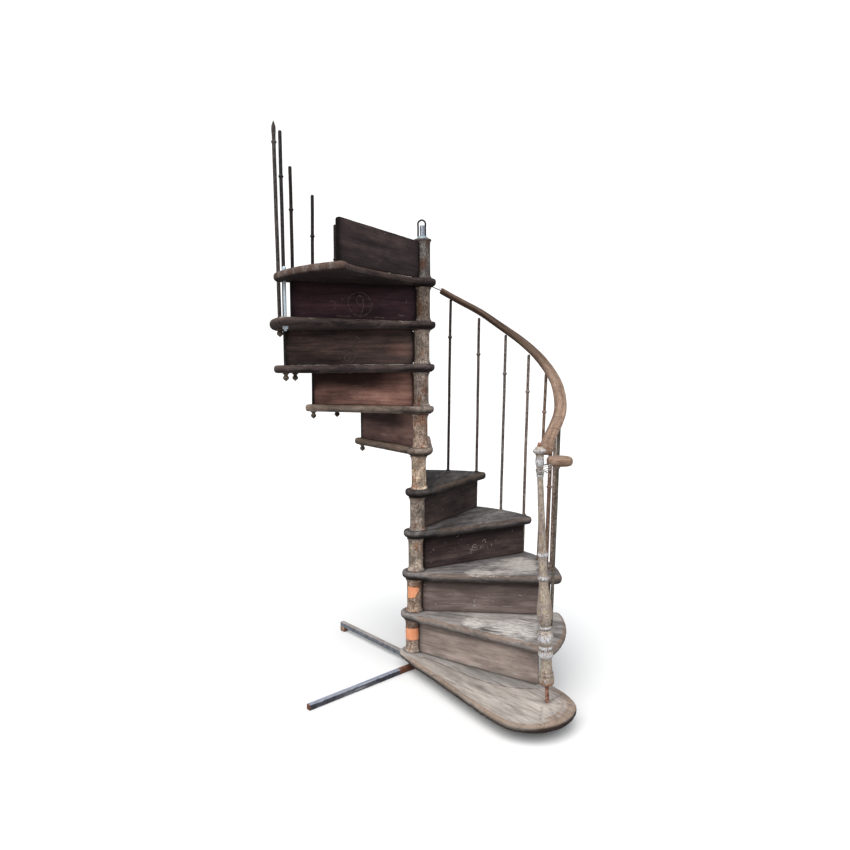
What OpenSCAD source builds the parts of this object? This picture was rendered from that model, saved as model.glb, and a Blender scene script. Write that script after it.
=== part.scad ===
// Spiral staircase: ten wooden treads threaded on a stack of cast column
// drums, with riser boards, iron balusters, part of a wooden handrail and a
// turned newel post, standing on a cross of two square steel bars.
// Millimetres. Z up, floor at z = 0, origin on the axis of the lowest drum.
// The climb turns anticlockwise seen from above.

/* [Steps] */
// Height from one tread top to the next
rise = 205; // [150:1:240]
// Thickness of every tread but the first
tread_t = 39; // [25:1:60]
// Thickness of the starting tread
start_t = 38; // [30:1:60]
// Thickness of the riser boards
riser_t = 16; // [8:1:30]
// How far a tread nose stands out past the riser under it
nosing = 60; // [20:1:90]
// Height of the free riser on the top tread
landing_h = 174; // [100:1:220]

/* [Column] */
// Radius of the wooden eye at the narrow end of a tread
eye_r = 65; // [50:1:90]
// Radius of a drum shaft
drum_r = 36.5; // [25:0.5:48]
// Radius of the flared foot and neck of a drum
drum_foot_r = 43; // [30:0.5:60]
// Radius of the hole down the middle of drums and eyes
core_r = 24; // [12:0.5:30]
// Radius of the long rod that holds the stack together
rod_core_r = 9; // [5:0.5:12]

/* [Balusters] */
// Radius of a baluster rod
bal_r = 8; // [5:0.5:12]
// Distance of the balusters from the centre of the stair
bal_R = 655; // [600:1:700]
// Radius of the small ring on each baluster
knob_r = 13; // [9:0.5:20]

/* [Handrail] */
// Width of the rail
rail_w = 60; // [35:1:70]
// Height of the rail section
rail_h = 35; // [25:1:60]

/* [Base] */
// Side of the square steel bars
bar = 25; // [20:1:50]
// Half length of the bar that lies on the floor
bar_half = 628; // [500:1:760]
// Half length of the bar that crosses over it
bar_half_high = 652; // [500:1:760]

/* [Hidden] */
$fn = 64;
// top of the starting tread, on the crossed bars
z1 = 2 * bar + start_t;
// the column leans: sideways position of the eye of each level
lean = [0, 8, 17, 26, 36, 45, 53, 58, 64, 67, 69];
// centre of the circle that the outer ends follow
cx = 42;
// turning angle of riser 1 to 10
turn = [-37, -7, 29, 60, 90, 120, 150, 180, 210, 240];
// rim of each tread: centre x, centre y, radius
rim = [[0, 0, 720], [62, -110, 676], [62, -20, 676], [34, 14, 678],
       [42, 0, 688], [42, 0, 692], [42, 0, 692], [42, 0, 704],
       [42, 0, 706], [42, 0, 709]];
// how far a tread runs on behind the riser that stands on it
back_run = 38;
gap = rise - tread_t;
// how many degrees each tread has sagged outward, and the direction it sags in
sag = [0, 0, 0, 0, 0, 0, 0, 0, 0, 1.1, 0];
sag_dir = 238.1;
// rear edge of the top tread: distance along it from its outer end, distance
// behind the riser line
edge10 = [[0, 60], [-4, 67], [-14, 72], [-36, 69], [-66, 56], [-100, 40],
  [-190, 25], [-300, 18], [-420, 15]];

function zt(i) = z1 + (i - 1) * rise;
function ex(i) = lean[i - 1];
function dx(i) = (lean[i - 1] + lean[i]) / 2;
function th(i) = turn[i - 1];
function po(a, r) = [cx + r * cos(a), r * sin(a)];
// outer end of riser i and its direction seen from the eye of level k
function out(i) = po(th(i), 648);
function near(a, r) = a < r - 180 ? a + 360 : a > r + 180 ? a - 360 : a;
function dirn(i, k) = let (p = out(i)) near(atan2(p[1], p[0] - ex(k)), th(i));
// distance along direction u from p to the circle of radius r about q
function reach(p, u, q, r) = let (d = p - q, m = d * u) -m + sqrt(m * m - d * d + r * r);
function unit(a) = [cos(a), sin(a)];
function nrm(a) = [-sin(a), cos(a)];
function spl(p, i, t) = let (n = len(p) - 1,
    a = p[max(i - 1, 0)], b = p[i], c = p[min(i + 1, n)], d = p[min(i + 2, n)])
    0.5 * ((2 * b) + (c - a) * t + (2 * a - 5 * b + 4 * c - d) * t * t
    + (3 * b - a - 3 * c + d) * t * t * t);
function curve(p, m) = concat([for (i = [0 : len(p) - 2]) for (j = [0 : m - 1])
    spl(p, i, j / m)], [p[len(p) - 1]]);

// ---- treads ----
module wedge2d(i) {
  c = [ex(i), 0];
  a0 = dirn(i - 1, i);
  a1 = dirn(i, i);
  f = riser_t / 2 + nosing;
  b = back_run;
  p0 = c - nrm(a0) * f;
  p1 = c + nrm(a1) * (i == 10 ? 15 : b);
  p2 = c + nrm(a1) * 60;
  q = [rim[i - 1][0], rim[i - 1][1]];
  t0 = reach(p0, unit(a0), q, rim[i - 1][2]);
  t1 = reach(p1, unit(a1), q, rim[i - 1][2]);
  t2 = reach(p2, unit(a1), q, rim[i - 1][2]);
  polygon(concat([c - nrm(a0) * min(f, eye_r - 1), p0 + unit(a0) * 20],
    [for (k = [0 : 6]) p0 + unit(a0) * (t0 - 36 + 36 * sin(k * 15)) + nrm(a0) * (36 - 36 * cos(k * 15))],
    [p0 + unit(a0) * (t0 + 30) + nrm(a0) * 90, c + unit((a0 + a1) / 2) * 1300,
     i == 10 ? p2 + unit(a1) * (t2 + 30) - nrm(a1) * 40 : p1 + unit(a1) * (t1 + 30) - nrm(a1) * 60],
    i == 10 ? [for (g = edge10) c + unit(a1) * (t2 + g[0]) + nrm(a1) * g[1]]
      : [for (k = [0 : 4]) p1 + unit(a1) * (t1 - 16 + 16 * cos(k * 22.5)) - nrm(a1) * (16 - 16 * sin(k * 22.5))],
    [p1]));
}
function drop(i, x, y) = tan(sag[i - 1]) * ((x - ex(i)) * cos(sag_dir) + y * sin(sag_dir));
module sagged(i) {
  if (sag[i - 1] == 0) children();
  else translate([ex(i), 0, zt(i)]) rotate(a = sag[i - 1], v = [-sin(sag_dir), cos(sag_dir), 0])
    translate([-ex(i), 0, -zt(i)]) children();
}
module bal_holes(i) {
  for (b = BAL) if (b[1] == i || (b[1] == i - 1 && b[2] == 1))
    translate([for (q = at(b, zt(i) - tread_t / 2)) q]) cylinder(r = bal_r + 1.6, h = 60, center = true);
  if (i == 9 || i == 10) translate([tie_p[0], tie_p[1], zt(i) - 20])
    cylinder(r = 7.6, h = 90, center = true);
}
module tread(i) {
  t = tread_t;
  difference() {
    union() {
      sagged(i) intersection() {
        translate([rim[i - 1][0], rim[i - 1][1], zt(i) - t])
          cylinder(r = rim[i - 1][2], h = t, $fn = 180);
        translate([0, 0, zt(i) - t]) linear_extrude(t) wedge2d(i);
      }
      translate([ex(i), 0, zt(i) - t]) rotate_extrude()
        polygon([[0, 0], [eye_r - 7, 0], [eye_r - 3, 6], [eye_r - 3, 12],
          [eye_r, 16], [eye_r, t - 7], [eye_r - 2, t - 2], [eye_r - 6, t], [0, t]]);
    }
    translate([ex(i), 0, zt(i) - t - 5]) cylinder(r = core_r, h = t + 10);
    bal_holes(i);
  }
}
start_pts = [[-25, -88], [13, -155], [85, -265], [178, -420], [287, -600],
  [338, -672], [374, -714], [413, -738], [454, -750], [495, -754],
  [539, -749], [590, -727], [626, -700], [662, -660], [684, -622],
  [696, -585], [695, -547], [687, -512], [668, -463], [645, -425], [628, -390]];
module tread_1() color([0.62, 0.58, 0.52]) difference() {
  union() {
    translate([0, 0, z1 - start_t]) linear_extrude(start_t)
      polygon(concat([[30, 52], [-40, 40], [-60, -22]], start_pts, [[606, -372]]));
    translate([0, 0, z1 - start_t]) rotate_extrude()
      polygon([[0, 0], [eye_r - 4, 0], [eye_r, 5], [eye_r, start_t - 7],
        [eye_r - 2, start_t - 2], [eye_r - 6, start_t], [0, start_t]]);
  }
  translate([0, 0, z1 - start_t - 5]) cylinder(r = core_r, h = start_t + 10);
  translate([575, -560, z1 - 30]) cylinder(r = 8.5, h = 40);
}
module tread_2() color([0.58, 0.54, 0.50]) tread(2);
module tread_3() color([0.56, 0.52, 0.48]) tread(3);
module tread_4() color([0.34, 0.30, 0.27]) tread(4);
module tread_5() color([0.32, 0.28, 0.25]) tread(5);
module tread_6() color([0.42, 0.37, 0.32]) tread(6);
module tread_7() color([0.42, 0.37, 0.32]) tread(7);
module tread_8() color([0.25, 0.21, 0.18]) tread(8);
module tread_9() color([0.25, 0.21, 0.18]) tread(9);
module tread_10() color([0.25, 0.21, 0.18]) tread(10);

// ---- risers ----
module riser(i) {
  c = [dx(i), 0];
  p = po(th(i), i == 1 ? 656 : 643);
  a = atan2(p[1] - c[1], p[0] - c[0]);
  L = norm(p - c);
  s = drum_foot_r + 1;
  lo = drop(i, p[0], p[1]);
  hi = drop(i + 1, p[0], p[1]);
  translate([c[0], c[1], zt(i)]) rotate([0, 0, a])
    translate([0, riser_t / 2, 0]) rotate([90, 0, 0]) linear_extrude(riser_t)
      if (i == 10) polygon(concat([[s, 0], [eye_r, 0], [L, 0.1 - lo]],
        [for (k = [0 : 6]) [L - 14 + 14 * cos(k * 15), landing_h - 14 + 14 * sin(k * 15)]],
        [[s, landing_h]]));
      else polygon([[s, 0], [eye_r, -lo * eye_r / L], [L, -lo], [L, gap - hi],
        [eye_r, gap - hi * eye_r / L], [s, gap - hi * eye_r / L]]);
}
module riser_1() color([0.50, 0.43, 0.39]) riser(1);
module riser_2() color([0.38, 0.30, 0.28]) riser(2);
module riser_3() color([0.25, 0.20, 0.19]) riser(3);
module riser_4() color([0.22, 0.18, 0.18]) riser(4);
module riser_5() color([0.22, 0.18, 0.18]) riser(5);
module riser_6() color([0.43, 0.30, 0.26]) riser(6);
module riser_7() color([0.43, 0.30, 0.26]) riser(7);
module riser_8() color([0.25, 0.18, 0.16]) riser(8);
module riser_9() color([0.18, 0.12, 0.12]) riser(9);
module riser_10() color([0.24, 0.20, 0.18]) riser(10);

// ---- column ----
module drum(i, h) {
  r = drum_r;
  f = drum_foot_r;
  translate([dx(i), 0, zt(i)]) rotate_extrude() polygon([[core_r, 0], [f, 0],
    [f, 5], [f - 1, 8], [r + 2.5, 11], [r + 1, 15], [r + 0.3, 22], [r, 30],
    [r, h - 30], [r + 0.3, h - 22], [r + 1, h - 15], [r + 2.5, h - 11],
    [f - 1, h - 8], [f, h - 5], [f, h], [core_r, h]]);
}
module drum_1() color([0.66, 0.56, 0.45]) drum(1, gap);
module drum_2() color([0.66, 0.56, 0.45]) drum(2, gap);
module drum_3() color([0.66, 0.56, 0.45]) drum(3, gap);
module drum_4() color([0.66, 0.56, 0.45]) drum(4, gap);
module drum_5() color([0.66, 0.56, 0.45]) drum(5, gap);
module drum_6() color([0.66, 0.56, 0.45]) drum(6, gap);
module drum_7() color([0.66, 0.56, 0.45]) drum(7, gap);
module drum_8() color([0.66, 0.56, 0.45]) drum(8, gap);
module drum_9() color([0.66, 0.56, 0.45]) drum(9, gap);
top_h = 188;
top_z = zt(10) + top_h;
module drum_10() color([0.66, 0.56, 0.45]) drum(10, top_h);

rod_top = [68, 0, top_z + 18];
rod_bot = [2, 0, bar];
module lean_between(a, b) {
  v = b - a;
  translate(a) rotate([0, acos(v[2] / norm(v)), atan2(v[1], v[0])]) children();
}
module centre_rod() color([0.72, 0.72, 0.73]) {
  lean_between(rod_bot, rod_top) cylinder(r = rod_core_r, h = norm(rod_top - rod_bot));
  translate([rod_top[0], 0, top_z + 18]) cylinder(r = 13.5, h = 48);
}
module top_washer() color([0.74, 0.75, 0.76])
  translate([dx(10), 0, top_z]) rotate_extrude() polygon([[rod_core_r + 1.4, 0],
    [29, 0], [29, 4], [27, 8], [22, 13], [16, 17], [rod_core_r + 1.4, 18]]);
eye_z = top_z + 74;
module lifting_eye() color([0.16, 0.15, 0.15])
  translate([rod_top[0] - 4, 0, 0]) {
    translate([0, 0, eye_z]) rotate([90, 0, 0]) rotate_extrude(angle = 180)
      translate([18.2, 0]) circle(r = 3.6, $fn = 24);
    for (k = [-1, 1]) translate([18.2 * k, 0, top_z + 14.5])
      cylinder(r = 3.6, h = eye_z - top_z - 14.5, $fn = 24);
  }

// ---- balusters: angle, level of the tread they end in, 1 if they also pass
// the tread above, top z, z of the ring, distance, sideways and forward lean
// of the top
BAL = [
  [75, 5, 0, 1907, 1688, 655, 22, 6],
  [60, 4, 1, 1794, 1586, 655, 22, 4],
  [45, 4, 0, 1690, 1474, 651, 28, 3],
  [30, 3, 1, 1576, 1376, 651, 31, 2],
  [15, 3, 0, 1472, 1275, 641, 39, 0],
  [0, 3, 0, 1392, 1180, 655, 24, 0],
  [-22, 2, 0, 1248, 1044, 656, 33, 0],
  [-32, 2, 0, 1178, 970, 656, 27, 0],
  [195, 9, 0, 2619, 2525, 659, -8, 0],
  [180, 8, 1, 2637, 2422, 647, -3, 0],
  [165, 8, 0, 2522, 2307, 655, -4, 0],
  [150, 7, 1, 2422, 2207, 655, 16, 0],
  [135, 7, 0, 2296, 2106, 645, 6, 0],
  [120, 6, 1, 2186, 1986, 652, 6, 0]];
function bot(b) = zt(b[1]) - tread_t;
function foot(b) = let (p = po(b[0], b[5])) [p[0], p[1], bot(b)];
function head(b) = let (p = po(b[0], b[5])) [p[0] + b[6], p[1] + b[7], b[3]];
function at(b, z) = let (k = (z - bot(b)) / (b[3] - bot(b))) foot(b) + (head(b) - foot(b)) * k;
module bal(b) {
  L = norm(head(b) - foot(b));
  k = L * (b[4] - bot(b)) / (b[3] - bot(b));
  s = zt(b[1] + b[2]) - bot(b);
  lean_between(foot(b), head(b)) rotate_extrude($fn = 28) polygon([[0, 0],
    [bal_r, 0], [bal_r, k - 9], [bal_r + 2, k - 7], [bal_r + 2, k - 5],
    [knob_r - 1, k - 4], [knob_r, k - 1.5], [knob_r, k + 1.5],
    [knob_r - 1, k + 4], [bal_r + 2, k + 5], [bal_r + 2, k + 7],
    [bal_r, k + 9], [bal_r, L - 3], [bal_r - 2, L], [0, L]]);
}
module balusters_lower() color([0.36, 0.28, 0.24]) for (b = BAL) if (b[0] < 90) bal(b);
module balusters_upper() color([0.22, 0.17, 0.15]) for (b = BAL) if (b[0] > 90) bal(b);
module baluster_finials() color([0.24, 0.18, 0.16])
  for (b = BAL) if (b[0] > 90 || b[2] == 0) translate(foot(b)) rotate_extrude($fn = 32)
    polygon([[0, 0], [15, 0], [15.5, -2], [15, -5], [10, -7], [9.5, -12], [11, -15],
      [13.5, -19], [14.5, -24], [13.5, -29], [10.5, -33], [6, -35.5], [3, -39], [0, -40]]);

tie_p = po(209, 664);
module tie_bolt() color([0.68, 0.72, 0.75]) {
  tie_drop = drop(10, tie_p[0], tie_p[1]);
  translate([tie_p[0], tie_p[1], zt(9) - tread_t - 22]) cylinder(r = 6.6, h = rise + tread_t + 44 - tie_drop, $fn = 32);
  translate([tie_p[0], tie_p[1], zt(10) - tie_drop + 0.5]) rotate_extrude($fn = 32)
    polygon([[6, 0], [17, 0], [17, 2.5], [12, 3], [12, 14], [11, 19], [8, 24], [6, 26], [6, 26], [0, 26], [0, 23], [6, 22]]);
  translate([tie_p[0], tie_p[1], zt(9) - tread_t - 3]) cylinder(r = 17, h = 3, $fn = 32);
  translate([tie_p[0], tie_p[1], zt(9) - tread_t - 14]) cylinder(r = 12.5, h = 11.5, $fn = 6);
}

// ---- handrail ----
path = curve([[180, 652, 1957], [234, 640, 1925], [286, 622, 1894],
  [397, 567, 1826], [501, 488, 1743], [598, 376, 1656], [664, 260, 1576],
  [700, 145, 1505], [718, 30, 1438], [720, -50, 1387], [712, -130, 1336],
  [692, -215, 1288], [659, -295, 1243], [625, -360, 1204], [598, -420, 1174],
  [583, -466, 1156], [577, -498, 1147]], 4);
sect = [[-0.30, -0.5], [0.30, -0.5], [0.42, -0.42], [0.46, -0.20], [0.5, -0.06],
  [0.5, 0.10], [0.44, 0.28], [0.30, 0.42], [0.10, 0.5], [-0.10, 0.5],
  [-0.30, 0.42], [-0.44, 0.28], [-0.5, 0.10], [-0.5, -0.06], [-0.46, -0.20],
  [-0.42, -0.42]];
module sweep(p, sec, w, h) {
  n = len(p);
  m = len(sec);
  t = [for (i = [0 : n - 1]) let (d = p[min(i + 1, n - 1)] - p[max(i - 1, 0)]) d / norm(d)];
  pts = [for (i = [0 : n - 1]) let (s0 = cross(t[i], [0, 0, 1]), s = s0 / norm(s0), u = cross(s, t[i]))
    for (q = sec) p[i] + s * q[0] * w + u * q[1] * h];
  faces = concat([[for (j = [0 : m - 1]) j]], [[for (j = [m - 1 : -1 : 0]) (n - 1) * m + j]],
    [for (i = [0 : n - 2]) for (j = [0 : m - 1]) let (k = (j + 1) % m)
      [i * m + j, (i + 1) * m + j, (i + 1) * m + k]],
    [for (i = [0 : n - 2]) for (j = [0 : m - 1]) let (k = (j + 1) % m)
      [i * m + j, (i + 1) * m + k, i * m + k]]);
  polyhedron(pts, faces);
}
module handrail() color([0.48, 0.37, 0.29]) sweep(path, sect, rail_w, rail_h);
module handrail_scroll() color([0.55, 0.43, 0.35])
  translate([621, -556, 1092]) rotate_extrude() polygon([[0, 0], [40, 0], [48, 3],
    [53, 10], [55, 20], [54, 30], [50, 36], [42, 39.5], [0, 40]]);
module handrail_core() color([0.20, 0.17, 0.16])
  lean_between([113, 668, 1990], [180, 652, 1958])
    translate([-2.5, -9, 0]) cube([5, 18, 76]);

// ---- newel ----
newel_a = [575, -560, z1];
newel_b = [535, -560, z1 + 1104];
prof = [[0, 0], [25, 0], [31, 6], [32, 18], [31.5, 36], [29, 38], [30, 42],
  [30, 52], [27, 56], [26, 64], [24, 92], [24.5, 112], [28, 118], [32, 126],
  [32, 138], [29, 146], [25.5, 150], [28.5, 156], [28.5, 164], [24, 170],
  [27, 176], [32, 188], [34, 203], [32, 218], [26, 231], [20, 238], [25, 242],
  [25, 250], [20, 254], [24, 264], [30, 284], [33.5, 308], [31, 340],
  [25, 380], [20, 421], [19.5, 436], [20, 448], [24.6, 452], [24.6, 464],
  [19, 469], [18, 490], [18, 546], [22, 551], [22, 563], [17, 567],
  [16.5, 590], [14.5, 700], [13.2, 820], [12.6, 880], [16, 884], [16, 890],
  [13.5, 894], [16.5, 899], [16.5, 908], [13.5, 912], [14.5, 922], [19, 938],
  [19, 952], [15.5, 968], [17, 978], [25, 984], [28, 989], [28, 994], [19, 1000],
  [14, 1008], [0, 1008]];
newel_s = 78;
module newel_post() color([0.74, 0.71, 0.65]) lean_between(newel_a, newel_b)
  translate([0, 0, newel_s]) difference() {
    rotate_extrude($fn = 48) polygon(prof);
    translate([0, 0, -5]) cylinder(r = 7.2, h = 1030, $fn = 32);
  }
module newel_rod() color([0.50, 0.28, 0.16])
  translate([0, 0, 0]) lean_between(newel_a - [-0.8, 0, 22], newel_b)
    cylinder(r = 6.8, h = norm(newel_b - newel_a) + 20, $fn = 32);
function nw(z) = newel_a + (newel_b - newel_a) * (z - z1) / (newel_b[2] - z1);
module loop(c, r, ax, ay) translate(c) rotate([ax, ay, 0]) rotate_extrude($fn = 40)
  translate([r, 0]) circle(r = 1.5, $fn = 12);
module wire_lashing() color([0.60, 0.58, 0.55]) {
  loop(nw(1082) + [22, 0, 2], 40, 8, -16);
  loop(nw(1090) + [23, 0, 3], 41, -6, -22);
}

// ---- base ----
bar_low_a = 42;
bar_high_a = 130;
module base_bar_low() color([0.26, 0.28, 0.31]) rotate([0, 0, bar_low_a])
  translate([-bar_half, -bar / 2 - 16, 0]) cube([2 * bar_half, bar, bar]);
module base_bar_high() color([0.26, 0.28, 0.31]) rotate([0, 0, bar_high_a])
  difference() {
    translate([-bar_half_high, -bar / 2 - 10, bar]) cube([2 * bar_half_high, bar, bar]);
    translate([0, 0, bar - 5]) cylinder(r = rod_core_r + 2, h = bar + 10);
  }
module base_feet() color([0.26, 0.28, 0.31]) rotate([0, 0, bar_high_a])
  for (s = [-1, 1]) translate([s * (bar_half_high - 20) - 18, -bar / 2 - 12, 0])
    cube([36, bar + 4, bar]);

tread_1();
tread_2();
tread_3();
tread_4();
tread_5();
tread_6();
tread_7();
tread_8();
tread_9();
tread_10();
riser_1();
riser_2();
riser_3();
riser_4();
riser_5();
riser_6();
riser_7();
riser_8();
riser_9();
riser_10();
drum_1();
drum_2();
drum_3();
drum_4();
drum_5();
drum_6();
drum_7();
drum_8();
drum_9();
drum_10();
centre_rod();
top_washer();
lifting_eye();
balusters_lower();
balusters_upper();
baluster_finials();
tie_bolt();
handrail();
handrail_scroll();
handrail_core();
newel_post();
newel_rod();
wire_lashing();
base_bar_low();
base_bar_high();
base_feet();
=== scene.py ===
import bpy, math
import numpy as np
from mathutils import Vector, Matrix
from mathutils.geometry import delaunay_2d_cdt

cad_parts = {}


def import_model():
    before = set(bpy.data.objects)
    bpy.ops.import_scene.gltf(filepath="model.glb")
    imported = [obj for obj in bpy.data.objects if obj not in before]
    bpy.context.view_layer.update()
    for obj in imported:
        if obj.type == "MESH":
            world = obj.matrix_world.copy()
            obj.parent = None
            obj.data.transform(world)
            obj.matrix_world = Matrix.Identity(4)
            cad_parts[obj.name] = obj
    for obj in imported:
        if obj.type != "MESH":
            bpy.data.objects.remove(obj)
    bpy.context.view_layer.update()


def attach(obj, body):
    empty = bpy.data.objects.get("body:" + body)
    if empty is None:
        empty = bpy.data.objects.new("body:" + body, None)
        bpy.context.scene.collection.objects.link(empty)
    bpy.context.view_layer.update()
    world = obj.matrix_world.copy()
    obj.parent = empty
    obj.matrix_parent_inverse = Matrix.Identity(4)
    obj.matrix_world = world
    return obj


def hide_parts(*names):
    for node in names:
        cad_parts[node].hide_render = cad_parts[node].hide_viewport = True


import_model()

SC = bpy.context.scene
MM = 0.001

# ------------------------------------------------------------------ camera
def make_camera():
    yaw, pitch, roll = -0.0093, 0.0743, -0.0077
    right = Vector((math.cos(yaw), math.sin(yaw), 0))
    fh = Vector((-math.sin(yaw), math.cos(yaw), 0))
    cp, sp = math.cos(pitch), math.sin(pitch)
    fwd = fh * cp - Vector((0, 0, sp))
    up = fh * sp + Vector((0, 0, cp))
    cr, sr = math.cos(roll), math.sin(roll)
    X = right * cr + up * sr
    Y = -right * sr + up * cr
    Z = -fwd
    data = bpy.data.cameras.new("camera")
    cam = bpy.data.objects.new("camera", data)
    SC.collection.objects.link(cam)
    cam.matrix_world = Matrix(((X.x, Y.x, Z.x, 0.042), (X.y, Y.y, Z.y, -3.298),
                               (X.z, Y.z, Z.z, 1.4696), (0, 0, 0, 1)))
    data.sensor_width = 36.0
    data.lens = 671.7 / 850 * 36.0
    data.clip_start, data.clip_end = 0.05, 100
    data.dof.use_dof = False
    SC.camera = cam
make_camera()

# ------------------------------------------------------- numbers of the stair
rise, tread_t, start_t, riser_t, nosing, landing_h = 205.0, 39.0, 38.0, 16.0, 60.0, 174.0
eye_r, drum_r, foot_r = 65.0, 36.5, 43.0
bar, bar_half, bar_half_high = 25.0, 628.0, 652.0
z1 = 2 * bar + start_t
lean = [0, 8, 17, 26, 36, 45, 53, 58, 64, 67, 69]
cx = 42.0
turn = [-37, -7, 29, 60, 90, 120, 150, 180, 210, 240]
rim = [(0, 0, 720), (62, -110, 676), (62, -20, 676), (34, 14, 678), (42, 0, 688), (42, 0, 692),
       (42, 0, 692), (42, 0, 704), (42, 0, 706), (42, 0, 709)]
SAG10, SAG_DIR = 1.1, 238.1
gap = rise - tread_t
top_h = 188.0
edge10 = [(0, 60), (-4, 67), (-14, 72), (-36, 69), (-66, 56), (-100, 40), (-190, 25), (-300, 18), (-420, 15)]
rad, deg = math.radians, math.degrees
def zt(i): return z1 + (i - 1) * rise
def ex(i): return float(lean[i - 1])
def dx(i): return (lean[i - 1] + lean[i]) / 2
top_z = zt(10) + top_h
def po(a, r): return np.array([cx + r * math.cos(rad(a)), r * math.sin(rad(a))])
def near(a, r): return a + 360 if a < r - 180 else a - 360 if a > r + 180 else a
def dirn(i, k):
    p = po(turn[i - 1], 648)
    return near(deg(math.atan2(p[1], p[0] - ex(k))), turn[i - 1])
def reach(p, u, q, r):
    d = p - q
    m = float(d @ u)
    return -m + math.sqrt(m * m - float(d @ d) + r * r)
def unit(a): return np.array([math.cos(rad(a)), math.sin(rad(a))])
def nrm(a): return np.array([-math.sin(rad(a)), math.cos(rad(a))])
def drop10(x, y):
    return math.tan(rad(SAG10)) * ((x - ex(10)) * math.cos(rad(SAG_DIR)) + y * math.sin(rad(SAG_DIR)))

# ------------------------------------------------------------------- noise
def vnoise(P, f, seed=0.0):
    """value noise of the points P (N x 3, mm), frequency f per mm, about -1 to 1"""
    q = np.asarray(P, float) * f + seed * 17.31 + 1000.0
    i = np.floor(q)
    w = q - i
    w = w * w * (3 - 2 * w)
    def h(a, b, c):
        v = np.sin((i[:, 0] + a) * 127.1 + (i[:, 1] + b) * 311.7 + (i[:, 2] + c) * 74.7) * 43758.5453
        return (v - np.floor(v)) * 2 - 1
    x, y, z = w[:, 0], w[:, 1], w[:, 2]
    def lerp(a, b, t): return a + (b - a) * t
    return lerp(lerp(lerp(h(0, 0, 0), h(1, 0, 0), x), lerp(h(0, 1, 0), h(1, 1, 0), x), y),
                lerp(lerp(h(0, 0, 1), h(1, 0, 1), x), lerp(h(0, 1, 1), h(1, 1, 1), x), y), z)
def fbm(P, f, octaves=3, seed=0.0):
    out, amp, tot = 0, 1.0, 0
    for k in range(octaves):
        out = out + amp * vnoise(P, f * 2 ** k, seed + 3.7 * k)
        tot += amp
        amp *= 0.5
    return out / tot
def smooth01(t):
    t = np.clip(t, 0, 1)
    return t * t * (3 - 2 * t)

# --------------------------------------------------------------- materials
def srgb(r, g, b, k=1.0):
    if not isinstance(k, tuple):
        k = (k, k, k)
    def f(c, q):
        c /= 255.0
        return min(0.97, (c / 12.92 if c <= 0.04045 else ((c + 0.055) / 1.055) ** 2.4) * q)
    return (f(r, k[0]), f(g, k[1]), f(b, k[2]), 1.0)
# how much each material was lightened or darkened under this light, red, green, blue; these factors bring each piece to
# its seen brightness, so the light and shade each piece stood in is painted into its colour
GAIN = {'rod_iron_0': (1.927, 2.16, 2.408), 'rod_iron_15': (1.603, 1.591, 1.535), 'rod_iron_30': (1.774, 2.021, 2.283), 'rod_iron_45': (2.274, 2.749, 3.174), 'rod_iron_60': (2.98, 2.963, 3.131), 'rod_iron_75': (1.379, 1.279, 1.281), 'rod_iron_135': (0.857, 0.786, 0.815), 'rod_iron_150': (0.857, 0.786, 0.815), 'rod_iron_165': (0.825, 0.652, 0.633), 'rod_iron_180': (1.124, 1.225, 1.461), 'rod_iron_195': (2.578, 2.859, 2.994), 'bar_paint_low': (1.557, 1.593, 1.623), 'bar_paint_high': (1.394, 1.419, 1.422), 'foot_rust': (3.295, 3.767, 4.369), 'drum_paint_10': (0.972, 1.088, 1.317), 'drum_paint_1': (1.664, 1.665, 1.845), 'drum_paint_2': (1.727, 1.676, 1.77), 'drum_paint_3': (1.713, 1.774, 1.959), 'drum_paint_4': (1.323, 1.363, 1.549), 'drum_paint_5': (2.457, 2.437, 2.517), 'drum_paint_6': (1.772, 1.68, 1.792), 'drum_paint_7': (1.25, 1.292, 1.497), 'drum_paint_8': (2.194, 2.251, 2.396), 'drum_paint_9': (1.194, 1.177, 1.212), 'rail_wood_worn': (1.246, 1.194, 1.136), 'rusty_pin': (1.599, 2.317, 4.064), 'newel_paint_worn': (1.536, 1.549, 1.629), 'wood_riser_10': (1.8, 1.724, 1.896), 'wood_riser_1': (2.165, 2.284, 2.285), 'wood_riser_2': (2.637, 2.835, 2.865), 'wood_riser_3': (2.306, 2.407, 2.419), 'wood_riser_4': (3.761, 3.541, 3.396), 'wood_riser_5': (5.5, 5.5, 5.5), 'wood_riser_6': (3.565, 3.721, 3.918), 'wood_riser_7': (4.01, 4.096, 4.496), 'wood_riser_8': (3.609, 4.005, 4.305), 'wood_riser_9': (3.547, 3.451, 3.83), 'wood_tread_10': (2.346, 2.252, 2.308), 'wood_tread_1': (1.74, 1.774, 1.845), 'wood_tread_2': (2.03, 2.048, 2.041), 'wood_tread_3': (1.734, 1.773, 1.788), 'wood_tread_4': (2.171, 2.141, 2.088), 'wood_tread_5': (2.173, 2.096, 2.004), 'wood_tread_6': (2.559, 2.613, 2.594), 'wood_tread_7': (3.445, 3.554, 3.607), 'wood_tread_8': (3.584, 3.575, 3.79), 'wood_tread_9': (5.018, 4.838, 4.995), 'drop_wood': (4.087, 5.387, 5.5), 'orange_tape': (2.234, 2.535, 2.654)}
def gk(name, k):
    return tuple(k * v for v in GAIN.get(name, (1.0, 1.0, 1.0)))

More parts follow.
